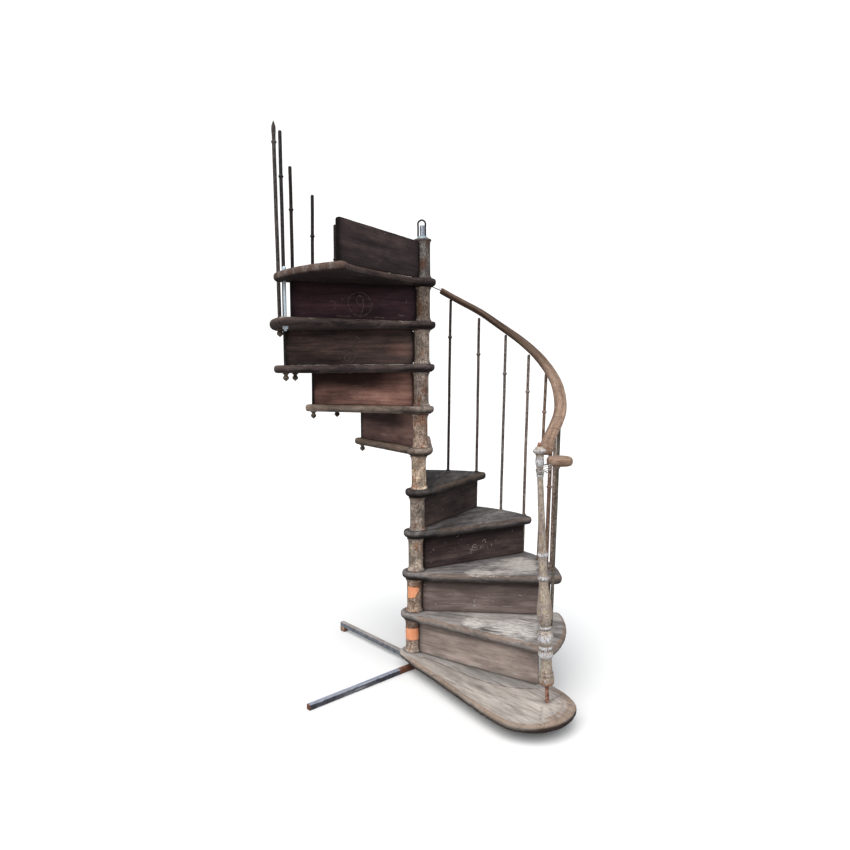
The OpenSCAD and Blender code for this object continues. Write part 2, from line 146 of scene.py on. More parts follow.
class G:
    """a small helper to write a node material"""
    def __init__(s, name):
        s.m = bpy.data.materials.new(name)
        s.m.use_nodes = True
        s.t = s.m.node_tree
        s.b = s.t.nodes["Principled BSDF"]
        s.tc = s.n("ShaderNodeTexCoord").outputs["Object"]
    def n(s, kind, **props):
        x = s.t.nodes.new(kind)
        for k, v in props.items():
            setattr(x, k, v)
        return x
    def put(s, sock, v):
        if isinstance(v, bpy.types.NodeSocket):
            s.t.links.new(v, sock)
        else:
            sock.default_value = v
    def map(s, size=(1, 1, 1), rz=0.0, loc=(0, 0, 0)):
        x = s.n("ShaderNodeMapping", vector_type="TEXTURE")
        s.put(x.inputs["Vector"], s.tc)
        x.inputs["Scale"].default_value = size
        x.inputs["Rotation"].default_value = (0, 0, rz)
        x.inputs["Location"].default_value = loc
        return x.outputs[0]
    def noise(s, vec, detail=4.0, rough=0.55, dist=0.0, scale=1.0):
        x = s.n("ShaderNodeTexNoise")
        s.put(x.inputs["Vector"], vec)
        x.inputs["Scale"].default_value = scale
        x.inputs["Detail"].default_value = detail
        x.inputs["Roughness"].default_value = rough
        x.inputs["Distortion"].default_value = dist
        return x.outputs["Fac"]
    def cells(s, vec, scale=1.0, rand=1.0):
        x = s.n("ShaderNodeTexVoronoi")
        s.put(x.inputs["Vector"], vec)
        x.inputs["Scale"].default_value = scale
        x.inputs["Randomness"].default_value = rand
        return x.outputs["Distance"]
    def ramp(s, fac, stops, interp="LINEAR"):
        x = s.n("ShaderNodeValToRGB")
        x.color_ramp.interpolation = interp
        while len(x.color_ramp.elements) < len(stops):
            x.color_ramp.elements.new(0.5)
        for e, (p, c) in zip(x.color_ramp.elements, stops):
            e.position, e.color = p, c
        s.put(x.inputs["Fac"], fac)
        return x.outputs["Color"]
    def mix(s, fac, a, b, mode="MIX"):
        x = s.n("ShaderNodeMix", data_type="RGBA", blend_type=mode)
        s.put(x.inputs[0], fac)
        s.put(x.inputs[6], a)
        s.put(x.inputs[7], b)
        return x.outputs[2]
    def math(s, op, a, b=0.0, clamp=False):
        x = s.n("ShaderNodeMath", operation=op, use_clamp=clamp)
        s.put(x.inputs[0], a)
        s.put(x.inputs[1], b)
        return x.outputs[0]
    def rng(s, v, a, b, c=0.0, d=1.0, kind="SMOOTHSTEP"):
        x = s.n("ShaderNodeMapRange", interpolation_type=kind)
        for k, q in zip(("Value", "From Min", "From Max", "To Min", "To Max"), (v, a, b, c, d)):
            s.put(x.inputs[k], q)
        return x.outputs["Result"]
    def attr(s, name):
        x = s.n("ShaderNodeAttribute")
        x.attribute_name = name
        return x.outputs["Fac"]
    def gray(s, v):
        x = s.n("ShaderNodeCombineColor")
        for k in range(3):
            s.put(x.inputs[k], v)
        return x.outputs[0]
    def bump(s, h, dist, strength=1.0, normal=None):
        x = s.n("ShaderNodeBump")
        x.inputs["Strength"].default_value = strength
        x.inputs["Distance"].default_value = dist
        s.put(x.inputs["Height"], h)
        if normal is not None:
            s.put(x.inputs["Normal"], normal)
        return x.outputs["Normal"]
    def done(s, color, rough, normal=None, metallic=0.0, spec=0.5):
        s.put(s.b.inputs["Base Color"], color)
        s.put(s.b.inputs["Roughness"], rough)
        s.b.inputs["Metallic"].default_value = metallic if not isinstance(metallic, bpy.types.NodeSocket) else 0.0
        if isinstance(metallic, bpy.types.NodeSocket):
            s.put(s.b.inputs["Metallic"], metallic)
        s.b.inputs["Specular IOR Level"].default_value = spec
        if normal is not None:
            s.put(s.b.inputs["Normal"], normal)
        return s.m

KW = 0.60      # how much of a seen colour is the surface's own, for this light

def wood(name, ang, dark, mid, light, pale, brown, k=KW, contrast=1.0, pale_amt=0.0, brown_amt=0.5,
         spec=0.10, rough=(0.66, 0.9), specks=0.0, seed=0.0, fine_amt=1.0, crack_amt=0.8, blot_amt=1.0,
         grain=(0.30, 0.016), wm=0.6, ms=(0.018, 0.012), pale_soft=0.0):
    """worn wood whose grain runs along ang (degrees, in plan). dark, mid, light, pale, brown are seen colours."""
    g = G(name)
    k = gk(name, k)
    L = (seed * 0.37, seed * 0.21, seed * 0.13)
    r = rad(ang)
    broad = g.noise(g.map((grain[0], grain[1], grain[1]), r, L), 5, 0.6, 0.7)
    fine = g.noise(g.map((0.10, 0.0024, 0.0024), r, L), 3, 0.6, 0.2)
    hair = g.noise(g.map((0.05, 0.0010, 0.0010), r, L), 2, 0.5)
    blot = g.noise(g.map((0.16, 0.07, 0.07), r, L), 5, 0.6)
    mott = g.noise(g.map((ms[0], ms[1], ms[1]), r, L), 5, 0.65)
    D, M, Li, P, Br = (srgb(*c, k) for c in (dark, mid, light, pale, brown))
    lo, hi = 0.5 - 0.11 / contrast, 0.5 + 0.11 / contrast
    col = g.ramp(g.math("ADD", g.math("MULTIPLY", broad, wm), g.math("MULTIPLY", mott, 1 - wm)),
                 [(lo, D), (0.5, M), (hi, Li)])
    col = g.mix(1.0, col, g.gray(g.rng(fine, 0.3, 0.7, 1 - 0.24 * fine_amt, 1 + 0.18 * fine_amt)), "MULTIPLY")
    col = g.mix(1.0, col, g.gray(g.rng(blot, 0.32, 0.68, 1 - 0.34 * blot_amt, 1 + 0.30 * blot_amt)), "MULTIPLY")
    # open grain and small cracks along the grain
    crack = g.rng(g.noise(g.map((0.26, 0.0062, 0.0062), r, (L[0] + 3, L[1], L[2])), 3, 0.5, 0.4), 0.27, 0.345, 1.0, 0.0)
    col = g.mix(g.math("MULTIPLY", crack, crack_amt), col, srgb(dark[0] * 0.42, dark[1] * 0.38, dark[2] * 0.37, k))
    tone = g.noise(g.map((0.34, 0.15, 0.10), r, (L[0] + 51, L[1], L[2])), 3, 0.5, 0.6)
    col = g.mix(1.0, col, g.gray(g.rng(tone, 0.36, 0.64, 0.80, 1.20)), "MULTIPLY")
    # a long board that has weathered cooler than its neighbour
    col = g.mix(g.math("MULTIPLY", g.attr("rim"), 0.8), col, g.mix(1.0, col, (0.84, 0.90, 0.96, 1), "MULTIPLY"))
    # brown wood where the edges are rubbed bare
    e = g.attr("edge")
    em = g.rng(g.math("ADD", e, g.math("MULTIPLY", g.math("SUBTRACT", blot, 0.5), 1.4)), 0.45, 0.95, 0.0, brown_amt)
    col = g.mix(em, col, g.mix(1.0, Br, g.gray(g.rng(g.math("ADD", g.math("MULTIPLY", fine, 0.55), g.math("MULTIPLY", broad, 0.45)), 0.34, 0.66, 0.66, 1.25)), "MULTIPLY"))
    # pale worn or painted patches
    w = g.math("ADD", g.attr("wear"), pale_amt)
    wv = g.math("ADD", w, g.math("MULTIPLY", g.math("SUBTRACT", mott, 0.5), 1.7))
    wv = g.math("ADD", wv, g.math("MULTIPLY", g.math("SUBTRACT", fine, 0.5), 1.1))
    wv = g.math("ADD", wv, g.math("MULTIPLY", g.math("SUBTRACT", blot, 0.5), 1.1))
    pt = g.noise(g.map((0.030, 0.0075, 0.0075), r, (L[0] + 17, L[1], L[2])), 5, 0.7, 0.5)
    col = g.mix(g.rng(wv, 0.40, 1.0, 0.0, 0.85), col, g.mix(1.0, P, g.gray(g.rng(pt, 0.34, 0.66, 0.62, 1.22)), "MULTIPLY"))
    # darkening from the dark attribute: painted shade under and beside the other parts, together with dark cracks and
    # stains
    d = g.attr("dark")
    dm = g.rng(g.math("ADD", d, g.math("MULTIPLY", g.math("SUBTRACT", mott, 0.5), 0.7)), 0.05, 0.95, 0.0, 0.93, "LINEAR")
    col = g.mix(dm, col, srgb(dark[0] * 0.33, dark[1] * 0.28, dark[2] * 0.27, k))
    if specks:
        c1 = g.cells(g.map((0.016, 0.016, 0.016), r, (L[0] + 7, L[1], L[2])))
        gate = g.rng(g.noise(g.map((0.05, 0.03, 0.03), r, (L[0] + 11, L[1], L[2])), 4, 0.7), 0.53, 0.62)
        c2 = g.cells(g.map((0.030, 0.0034, 0.0034), r + 0.3, (L[0] + 5, L[1] + 1, L[2])))
        g2 = g.rng(g.noise(g.map((0.09, 0.05, 0.05), r, (L[0] + 21, L[1], L[2])), 3, 0.6), 0.60, 0.66)
        sp = g.math("MULTIPLY", g.rng(c1, 0.06, 0.13, 1.0, 0.0), gate)
        s2 = g.math("MULTIPLY", g.rng(c2, 0.07, 0.15, 1.0, 0.0), g2)
        sp = g.math("MULTIPLY", g.math("MAXIMUM", sp, s2), specks)
        col = g.mix(sp, col, srgb(*[min(245, c * 1.18 + 12) for c in pale], k))
    h = g.math("ADD", g.math("MULTIPLY", fine, 0.5), g.math("MULTIPLY", broad, 0.35))
    h = g.math("ADD", h, g.math("MULTIPLY", hair, 0.25))
    h = g.math("SUBTRACT", h, g.math("MULTIPLY", crack, 0.5))
    nb = g.bump(h, 0.0016, 0.75)
    nb = g.bump(mott, 0.0016, 0.25, nb)
    return g.done(col, g.rng(fine, 0.3, 0.7, rough[0], rough[1]), nb, spec=spec)

def paint_on_iron(name, base, shade, rust, dark, white, k=KW, rust_amt=0.5, dark_amt=0.5, white_amt=0.5,
                  size=1.0, rough=(0.5, 0.85), seed=0.0):
    """old paint that has worn to rust and dirt"""
    g = G(name)
    k = gk(name, k)
    L = (seed * 0.31, seed * 0.17, seed * 0.23)
    S = size
    big = g.noise(g.map((0.045 * S, 0.045 * S, 0.09 * S), 0, L), 5, 0.62, 0.4)
    med = g.noise(g.map((0.013 * S, 0.013 * S, 0.024 * S), 0, (L[0] + 1, L[1], L[2])), 6, 0.7, 0.5)
    tiny = g.noise(g.map((0.0032 * S,) * 3, 0, (L[0] + 2, L[1], L[2])), 5, 0.7)
    drip = g.noise(g.map((0.007 * S, 0.007 * S, 0.12 * S), 0, (L[0] + 4, L[1], L[2])), 4, 0.6)
    B, S2, R, D, W = (srgb(*c, k) for c in (base, shade, rust, dark, white))
    col = g.mix(g.rng(g.math("ADD", g.math("MULTIPLY", med, 0.85), g.math("MULTIPLY", drip, 0.15)), 0.42, 0.60), B, S2)
    spk = g.noise(g.map((0.0085 * S, 0.0085 * S, 0.011 * S), 0, (L[0] + 41, L[1], L[2])), 4, 0.7)
    col = g.mix(1.0, col, g.gray(g.rng(spk, 0.33, 0.67, 0.60, 1.36)), "MULTIPLY")
    shade2 = g.noise(g.map((0.06 * S, 0.06 * S, 0.05 * S), 0, (L[0] + 61, L[1], L[2])), 3, 0.55)
    col = g.mix(1.0, col, g.gray(g.rng(shade2, 0.37, 0.63, 0.60, 1.32)), "MULTIPLY")
    col = g.mix(1.0, col, g.gray(g.rng(tiny, 0.30, 0.70, 0.78, 1.2)), "MULTIPLY")
    # worn white paint flecks, plus a painted highlight along the drums' top and bottom rims
    rim_a = g.attr("rim")
    wf = g.math("ADD", g.rng(med, 0.52, 0.70, 0.0, white_amt), g.math("MULTIPLY", rim_a, 0.35))
    wf = g.math("MULTIPLY", wf, g.rng(tiny, 0.42, 0.60))
    col = g.mix(g.math("MINIMUM", wf, 1.0), col, W)
    rm = g.math("ADD", g.math("MULTIPLY", big, 0.6), g.math("MULTIPLY", g.noise(g.map((0.011 * S,) * 3, 0, (L[0] + 9, L[1], L[2])), 5, 0.7), 0.4))
    thr = 0.60 - 0.16 * rust_amt
    rmask = g.rng(rm, thr, thr + 0.07)
    rcol = g.ramp(tiny, [(0.32, srgb(rust[0] * 0.62, rust[1] * 0.52, rust[2] * 0.5, k)), (0.5, R), (0.68, srgb(min(255, rust[0] * 1.22), rust[1] * 1.16, rust[2] * 1.05, k))])
    col = g.mix(g.math("MULTIPLY", rmask, 0.75), col, rcol)
    pit = g.math("MULTIPLY", g.rng(g.cells(g.map((0.0062 * S,) * 3, 0, L)), 0.12, 0.24, 1.0, 0.0),
                 g.rng(g.noise(g.map((0.03 * S,) * 3, 0, (L[0] + 5, L[1], L[2])), 4, 0.65), 0.55 - 0.12 * dark_amt, 0.62))
    stain = g.rng(g.math("ADD", g.math("MULTIPLY", g.noise(g.map((0.02 * S, 0.02 * S, 0.035 * S), 0, (L[0] + 14, L[1], L[2])), 6, 0.75), 0.7),
                         g.math("MULTIPLY", tiny, 0.3)), 0.62 - 0.10 * dark_amt, 0.66 - 0.06 * dark_amt)
    peck = g.rng(g.noise(g.map((0.0068 * S, 0.0068 * S, 0.0085 * S), 0, (L[0] + 31, L[1], L[2])), 3, 0.62), 0.585 - 0.05 * dark_amt, 0.64 - 0.05 * dark_amt)
    dm = g.math("MAXIMUM", g.math("MULTIPLY", pit, 0.85), g.math("MULTIPLY", stain, 0.7))
    dm = g.math("MAXIMUM", dm, g.math("MULTIPLY", peck, 0.7))
    # painted shade from the dark attribute: at the drum's foot and under the tread above
    dm = g.math("MAXIMUM", dm, g.math("MULTIPLY", g.attr("dark"), 0.8))
    col = g.mix(dm, col, D)
    h = g.math("ADD", g.math("MULTIPLY", tiny, 0.35), g.math("MULTIPLY", med, 0.5))
    h = g.math("SUBTRACT", h, g.math("MULTIPLY", rmask, 0.35))
    h = g.math("SUBTRACT", h, g.math("MULTIPLY", pit, 0.4))
    nb = g.bump(h, 0.0018, 0.8)
    return g.done(col, g.rng(med, 0.35, 0.65, rough[0], rough[1]), nb, spec=0.16)

def iron(name, base, light, rust, k=KW, rust_amt=0.4, rough=(0.5, 0.8), metallic=0.0, seed=0.0, size=1.0, spec=0.22):
    g = G(name)
    k = gk(name, k)
    L = (seed * 0.29, seed * 0.41, seed * 0.19)
    a = g.noise(g.map((0.02 * size, 0.02 * size, 0.09 * size), 0, L), 5, 0.6, 0.3)
    b = g.noise(g.map((0.0045 * size, 0.0045 * size, 0.012 * size), 0, (L[0] + 2, L[1], L[2])), 5, 0.7)
    B, Li, R = (srgb(*c, k) for c in (base, light, rust))
    c = g.noise(g.map((0.008 * size, 0.008 * size, 0.014 * size), 0, (L[0] + 6, L[1], L[2])), 4, 0.7)
    col = g.mix(g.rng(g.math("ADD", g.math("MULTIPLY", a, 0.45), g.math("MULTIPLY", c, 0.55)), 0.43, 0.58), B, Li)
    col = g.mix(1.0, col, g.gray(g.rng(c, 0.34, 0.66, 0.55, 1.4)), "MULTIPLY")
    col = g.mix(g.rng(b, 0.60 - 0.18 * rust_amt, 0.74 - 0.14 * rust_amt, 0.0, 0.85), col, R)
    col = g.mix(g.math("MULTIPLY", g.attr("rim"), g.rng(b, 0.35, 0.6)), col, srgb(*[min(255, c * 1.25 + 10) for c in light], k))
    col = g.mix(g.attr("dark"), col, srgb(base[0] * 0.5, base[1] * 0.5, base[2] * 0.5, k))
    nb = g.bump(g.math("ADD", g.math("MULTIPLY", a, 0.4), g.math("MULTIPLY", b, 0.6)), 0.0009, 0.6)
    return g.done(col, g.rng(b, 0.3, 0.7, rough[0], rough[1]), nb, metallic=metallic, spec=spec)

def bright(name, base, spot, k=0.9, rough=(0.22, 0.5), seed=0.0, metal=0.92):
    g = G(name)
    k = gk(name, k)
    L = (seed, seed * 0.5, 0)
    a = g.noise(g.map((0.006, 0.006, 0.02), 0, L), 5, 0.6)
    b = g.noise(g.map((0.0018, 0.0018, 0.0018), 0, L), 4, 0.6)
    col = g.mix(g.rng(a, 0.45, 0.68), srgb(*base, k), srgb(*spot, k))
    col = g.mix(g.math("MULTIPLY", g.attr("dark"), 0.8), col, srgb(60, 62, 66, k))
    nb = g.bump(b, 0.0004, 0.4)
    return g.done(col, g.rng(a, 0.3, 0.7, rough[0], rough[1]), nb, metallic=metal)

# ----------------------------------------------------------------- objects
COUNT = {"tris": 0}
def obj(name, V, F, mat, nodes=(), attrs=None, sharp=38.0):
    V = np.asarray(V, float) * MM
    me = bpy.data.meshes.new(name)
    me.from_pydata(V.tolist(), [], [list(map(int, f)) for f in F])
    me.update()
    for k in ("edge", "wear", "dark", "rim"):
        a = me.attributes.new(k, "FLOAT", "POINT")
        if attrs and k in attrs:
            a.data.foreach_set("value", np.clip(np.asarray(attrs[k], np.float32), 0, 1))
    me.polygons.foreach_set("use_smooth", [True] * len(me.polygons))
    me.set_sharp_from_angle(angle=rad(sharp))
    ob = bpy.data.objects.new(name, me)
    SC.collection.objects.link(ob)
    me.materials.append(mat)
    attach(ob, "root")
    if nodes:
        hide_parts(*nodes)
    return ob

def loft(rings, cap=True, closed=False):
    """rings: list of (M x 3); quads between them, n-gon caps"""
    n, m = len(rings), len(rings[0])
    V = np.concatenate(rings)
    F = []
    for i in range(n if closed else n - 1):
        a, b = i * m, ((i + 1) % n) * m
        for j in range(m):
            k = (j + 1) % m
            F.append((a + j, a + k, b + k, b + j))
    if cap and not closed:
        F.append(tuple(range(m - 1, -1, -1)))
        F.append(tuple((n - 1) * m + j for j in range(m)))
    return V, F

def join(parts):
    V, F, o = [], [], 0
    for v, f in parts:
        V.append(v)
        F += [tuple(i + o for i in t) for t in f]
        o += len(v)
    return np.concatenate(V), F

def axis_frame(a, b):
    a, b = np.asarray(a, float), np.asarray(b, float)
    w = b - a
    L = np.linalg.norm(w)
    w = w / L
    x = np.cross([0, 1, 0], w) if abs(w[1]) < 0.9 else np.cross([1, 0, 0], w)
    x /= np.linalg.norm(x)
    return a, x, np.cross(w, x), w, L

def lathe(a, b, prof, seg=48, rfun=None, bend=0.0, seed=0.0):
    """turned shape about the line a to b. prof: list of (radius, distance along)"""
    o, X, Y, W, L = axis_frame(a, b)
    ph = np.arange(seg) * 2 * math.pi / seg
    rings = []
    for r, t in prof:
        rr = np.full(seg, float(r))
        if rfun is not None:
            rr = rfun(rr, ph, t)
        c = o + W * t
        if bend:
            c = c + bend * (X * math.sin(t / L * math.pi * 1.3 + seed) * math.sin(t / L * math.pi)
                            + Y * math.sin(t / L * math.pi * 2.1 + seed * 2) * math.sin(t / L * math.pi))
        rings.append(c + rr[:, None] * (np.cos(ph)[:, None] * X + np.sin(ph)[:, None] * Y))
    return loft(rings)

def dense(prof, step):
    """adds points along the long straight runs of a profile"""
    out = [prof[0]]
    for (r0, t0), (r1, t1) in zip(prof, prof[1:]):
        n = max(1, int(math.hypot(r1 - r0, t1 - t0) / step))
        for k in range(1, n + 1):
            out.append((r0 + (r1 - r0) * k / n, t0 + (t1 - t0) * k / n))
    return out

def rounded(prof, n=3):
    """softens a profile's corners by cutting each one twice"""
    p = [tuple(map(float, q)) for q in prof]
    for _ in range(n):
        q = [p[0]]
        for a, b in zip(p, p[1:]):
            q.append((a[0] * 0.75 + b[0] * 0.25, a[1] * 0.75 + b[1] * 0.25))
            q.append((a[0] * 0.25 + b[0] * 0.75, a[1] * 0.25 + b[1] * 0.75))
        q.append(p[-1])
        p = q
    return p

# ------------------------------------------------------------------ treads
def resample(P, step):
    P = np.asarray(P, float)
    Q = np.vstack([P, P[:1]])
    d = np.r_[0, np.cumsum(np.linalg.norm(np.diff(Q, axis=0), axis=1))]
    n = int(d[-1] / step)
    t = np.linspace(0, d[-1], n, endpoint=False)
    return np.c_[np.interp(t, d, Q[:, 0]), np.interp(t, d, Q[:, 1])]

def wedge_loop(i):
    c = np.array([ex(i), 0.0])
    a0, a1 = dirn(i - 1, i), dirn(i, i)
    u0, n0, u1, n1 = unit(a0), nrm(a0), unit(a1), nrm(a1)
    f, b = riser_t / 2 + nosing, (15.0 if i == 10 else 38.0)
    q, R = np.array(rim[i - 1][:2], float), rim[i - 1][2]
    p0, p1, p2 = c - n0 * f, c + n1 * b, c + n1 * 60
    t0, t1, t2 = reach(p0, u0, q, R), reach(p1, u1, q, R), reach(p2, u1, q, R)
    P = [c - n0 * 64.5, c - n0 * 65 + u0 * 12]
    P += [p0 + u0 * s for s in np.arange(24, t0 - 36, 8)]
    for k in range(13):
        s = rad(k * 7.5)
        P.append(p0 + u0 * (t0 - 36 + 36 * math.sin(s)) + n0 * (36 - 36 * math.cos(s)))
    if i == 10:
        back = [c + u1 * (t2 + g[0]) + n1 * g[1] for g in edge10]
    else:
        back = [p1 + u1 * (t1 - 16 + 16 * math.cos(rad(k * 11.25))) - n1 * (16 - 16 * math.sin(rad(k * 11.25))) for k in range(9)]
    clip = lambda p: q + (p - q) * min(1.0, R / np.linalg.norm(p - q))
    P = [clip(p) if j > 2 else p for j, p in enumerate(P)]
    back = [clip(p) for p in back]
    A = math.atan2(*(P[-1] - q)[::-1])
    Bq = math.atan2(*(back[0] - q)[::-1])
    while Bq < A:
        Bq += 2 * math.pi
    P += [q + R * np.array([math.cos(s), math.sin(s)]) for s in np.linspace(A, Bq, 90)[1:-1]]
    P += back
    s1 = math.sqrt(eye_r ** 2 - b * b)
    last = float((back[-1] - c) @ u1)
    P += [p1 + u1 * s for s in np.arange(last - 6, s1 + 4, -8)]
    arc0, arc1 = a1 + deg(math.asin(b / eye_r)), a0 + 270
    P += [c + eye_r * unit(s) for s in np.arange(arc0 + 3, arc1 - 2, 4)]
    return np.array(P), c

START = [(-25, -88), (13, -155), (85, -265), (178, -420), (287, -600), (338, -672), (374, -714), (413, -738),
         (454, -750), (495, -754), (539, -749), (590, -727), (626, -700), (662, -660), (684, -622), (696, -585),
         (695, -547), (687, -512), (668, -463), (645, -425), (628, -390)]
def start_loop():
    c = np.zeros(2)
    P = [np.array(p, float) for p in START] + [np.array([606.0, -372.0])]
    P += [np.array([606 + (40 - 606) * s, -372 + (51 + 372) * s]) for s in np.linspace(0.03, 0.985, 60)]
    P += [eye_r * unit(a) for a in np.arange(54, 204, 4)]
    return np.array(P), c

PA = [(18, 0), (12.5, -.5), (8.4, -1.7), (5.0, -3.9), (2.5, -7.2), (.8, -11.5), (0, -16.5), (0, -21.5), (.7, -26),
      (2.4, -30.5), (5.4, -34.6), (9.6, -37.6), (15, -39)]
PB = [(14, 0), (8.8, -.4), (5.0, -1.6), (2.4, -3.8), (.8, -7.2), (0, -11.5), (0, -17), (.4, -21.5), (2.0, -25.8),
      (5.0, -29.6), (9.4, -33.2), (14.4, -36.4), (19.5, -39)]

def dtop_all(x, y, loop):
    d = np.full(len(x), 1e9)
    Q = np.c_[x, y]
    for k in range(0, len(loop), 200):
        d = np.minimum(d, np.linalg.norm(Q[:, None] - loop[None, k:k + 200], axis=2).min(1))
    return d

def tread(i, mat, wear_fn=None, wave=2.0, creases=(), dark_fn=None, edge_gain=1.0, seed=0.0):
    raw, c = start_loop() if i == 1 else wedge_loop(i)
    t = start_t if i == 1 else tread_t
    z0 = zt(i)
    P = resample(raw, 5.0)
    for _ in range(5):
        P = (np.roll(P, 1, 0) + 2 * P + np.roll(P, -1, 0)) / 4
    N = len(P)
    T = np.roll(P, -1, 0) - np.roll(P, 1, 0)
    for _ in range(4):
        T = (np.roll(T, 1, 0) + 2 * T + np.roll(T, -1, 0)) / 4
    T /= np.linalg.norm(T, axis=1)[:, None]
    In = np.c_[-T[:, 1], T[:, 0]]
    rr = np.linalg.norm(P - c, axis=1)
    we = smooth01((112 - rr) / 44.0)
    # a worn edge: hollows and chips, always inward
    P3 = np.c_[P, np.full(N, z0)]
    w = (fbm(P3, 1 / 90.0, 3, seed + i) * 0.5 + 0.5) * wave + np.clip(fbm(P3, 1 / 24.0, 2, seed + 9 + i) - 0.28, 0, 1) * wave * 3.0
    w *= 1 - 0.75 * we
    P = P + In * w[:, None]
    # how tight the outline turns, so that the inner rings do not cross
    ang = np.arctan2(T[:, 1], T[:, 0])
    dth = (np.roll(ang, -1) - np.roll(ang, 1) + math.pi) % (2 * math.pi) - math.pi
    Rl = 10.0 / np.maximum(dth, 1e-3)
    sc = np.clip(0.8 * Rl / 18.0, 0.35, 1.0)
    for _ in range(12):
        sc = np.minimum(sc, (np.roll(sc, 1) + sc + np.roll(sc, -1)) / 3 + 0.02)
    f = t / 39.0
    nr = len(PA)
    round_up = 1.0 + 0.5 * (fbm(P3, 1 / 120.0, 2, seed + 21) > 0.1)
    rings = []
    for j in range(nr):
        d = PA[j][0] * (1 - we) + PB[j][0] * we
        z = PA[j][1] * (1 - we) + PB[j][1] * we
        rings.append((P + In * (d * sc)[:, None], z * f))
    def dz(x, y):
        Q = np.c_[x, y, np.full(len(x), z0)]
        r = np.hypot(x - c[0], y - c[1])
        out = fbm(Q, 1 / 70.0, 3, seed + 5) * 0.7 - 0.6
        return out * smooth01((r - 60) / 40.0)
    fade = np.clip(1 - np.arange(nr) / 6.0, 0, 1)
    # top face: constrained triangulation with points inside
    ring0, ringN = rings[0][0], rings[-1][0]
    def fill(loop, step, extra=()):
        lo, hi = loop.min(0), loop.max(0)
        gx, gy = np.meshgrid(np.arange(lo[0], hi[0], step), np.arange(lo[1], hi[1], step * 0.87))
        gx = gx + (np.arange(gx.shape[0]) % 2)[:, None] * step / 2
        Q = np.c_[gx.ravel(), gy.ravel()]
        x, y = Q[:, 0], Q[:, 1]
        inside = np.zeros(len(Q), bool)
        a, b = loop, np.roll(loop, -1, 0)
        for (ax, ay), (bx, by) in zip(a, b):
            hit = (ay > y) != (by > y)
            if by != ay:
                inside ^= hit & (x < (bx - ax) * (y - ay) / (by - ay) + ax)
        dmin = np.full(len(Q), 1e9)
        for k in range(0, len(loop), 200):
            dmin = np.minimum(dmin, np.linalg.norm(Q[:, None] - loop[None, k:k + 200], axis=2).min(1))
        keep = inside & (dmin > step * 0.6)
        for line, half in extra:
            dl = np.full(len(Q), 1e9)
            for p, q in zip(line, line[1:]):
                v = q - p
                s = np.clip(((Q - p) @ v) / (v @ v), 0, 1)
                dl = np.minimum(dl, np.linalg.norm(Q - p - s[:, None] * v, axis=1))
            keep &= dl > half * 2.2
        return Q[keep], dmin[keep]
    lines = []
    for pts, half, depth in creases:
        L = np.array(pts, float)
        d = np.r_[0, np.cumsum(np.linalg.norm(np.diff(L, axis=0), axis=1))]
        s = np.linspace(0, d[-1], int(d[-1] / 7))
        L = np.c_[np.interp(s, d, L[:, 0]), np.interp(s, d, L[:, 1])]
        L[:, 1] += fbm(np.c_[L, np.zeros(len(L))], 1 / 18.0, 2, 4) * 1.6
        lines.append((L, half, depth))
    inner, dmin = fill(ring0, 11.0 if i != 1 else 10.0, [(l, h) for l, h, _ in lines])
    pts = [tuple(p) for p in ring0] + [tuple(p) for p in inner]
    zoff = [0.0] * len(pts)
    dk = [0.0] * len(pts)
    cons = []
    for L, half, depth in lines:
        tt = np.gradient(L, axis=0)
        tt /= np.linalg.norm(tt, axis=1)[:, None]
        nn = np.c_[-tt[:, 1], tt[:, 0]]
        for off, dzv, kv in ((-half, 0, 0), (0, -depth, 1), (half, 0, 0)):
            b0 = len(pts)
            pts += [tuple(p) for p in (L + nn * off)]
            zoff += [dzv] * len(L)
            dk += [kv] * len(L)
            cons += [(b0 + k, b0 + k + 1) for k in range(len(L) - 1)]
    edges = [(k, (k + 1) % N) for k in range(N)] + cons
    res = delaunay_2d_cdt([Vector(p) for p in pts], edges, [list(range(N))] if not cons else [], 1 if not cons else 0, 1e-4)
    V2, F2, orig = res[0], res[2], res[3]
    V2 = np.array([tuple(v) for v in V2])
    look = [(o[0] if o else -1) for o in orig]
    zo = np.array([zoff[o] if o >= 0 else 0.0 for o in look])
    dkk = np.array([dk[o] if o >= 0 else 0.0 for o in look])
    onring = {o: k for k, o in enumerate(look) if 0 <= o < N}
    if cons:   # drop the triangles outside the loop
        cen = np.array([V2[list(t3)].mean(0) for t3 in F2])
        ins = np.zeros(len(cen), bool)
        for (ax, ay), (bx, by) in zip(ring0, np.roll(ring0, -1, 0)):
            hit = (ay > cen[:, 1]) != (by > cen[:, 1])
            if by != ay:
                ins ^= hit & (cen[:, 0] < (bx - ax) * (cen[:, 1] - ay) / (by - ay) + ax)
        F2 = [t3 for t3, k in zip(F2, ins) if k]
    V, F = [], []
    top = np.c_[V2, z0 + dz(V2[:, 0], V2[:, 1]) + zo]
    V.append(top)
    def orient(tri, up):
        p = [V2[k] for k in tri]
        s = (p[1][0] - p[0][0]) * (p[2][1] - p[0][1]) - (p[1][1] - p[0][1]) * (p[2][0] - p[0][0])
        return tuple(tri) if (s > 0) == up else tuple(reversed(tri))
    F += [orient(t3, True) for t3 in F2]
    base = len(top)
    ids = [[onring.get(k, -1) for k in range(N)]]
    if -1 in ids[0]:
        miss = [k for k in range(N) if ids[0][k] < 0]
        for k in miss:
            ids[0][k] = int(np.argmin(np.linalg.norm(V2 - ring0[k], axis=1)))
    for j in range(1, nr):
        q, z = rings[j]
        V.append(np.c_[q, z0 + z + dz(q[:, 0], q[:, 1]) * fade[j]])
        ids.append(list(range(base, base + N)))
        base += N
    for j in range(nr - 1):
        a, b = ids[j], ids[j + 1]
        for k in range(N):
            m = (k + 1) % N
            if a[k] == a[m]:
                F.append((a[k], b[k], b[m]))
            else:
                F.append((a[k], b[k], b[m], a[m]))
    innerb, _ = fill(ringN, 26.0)
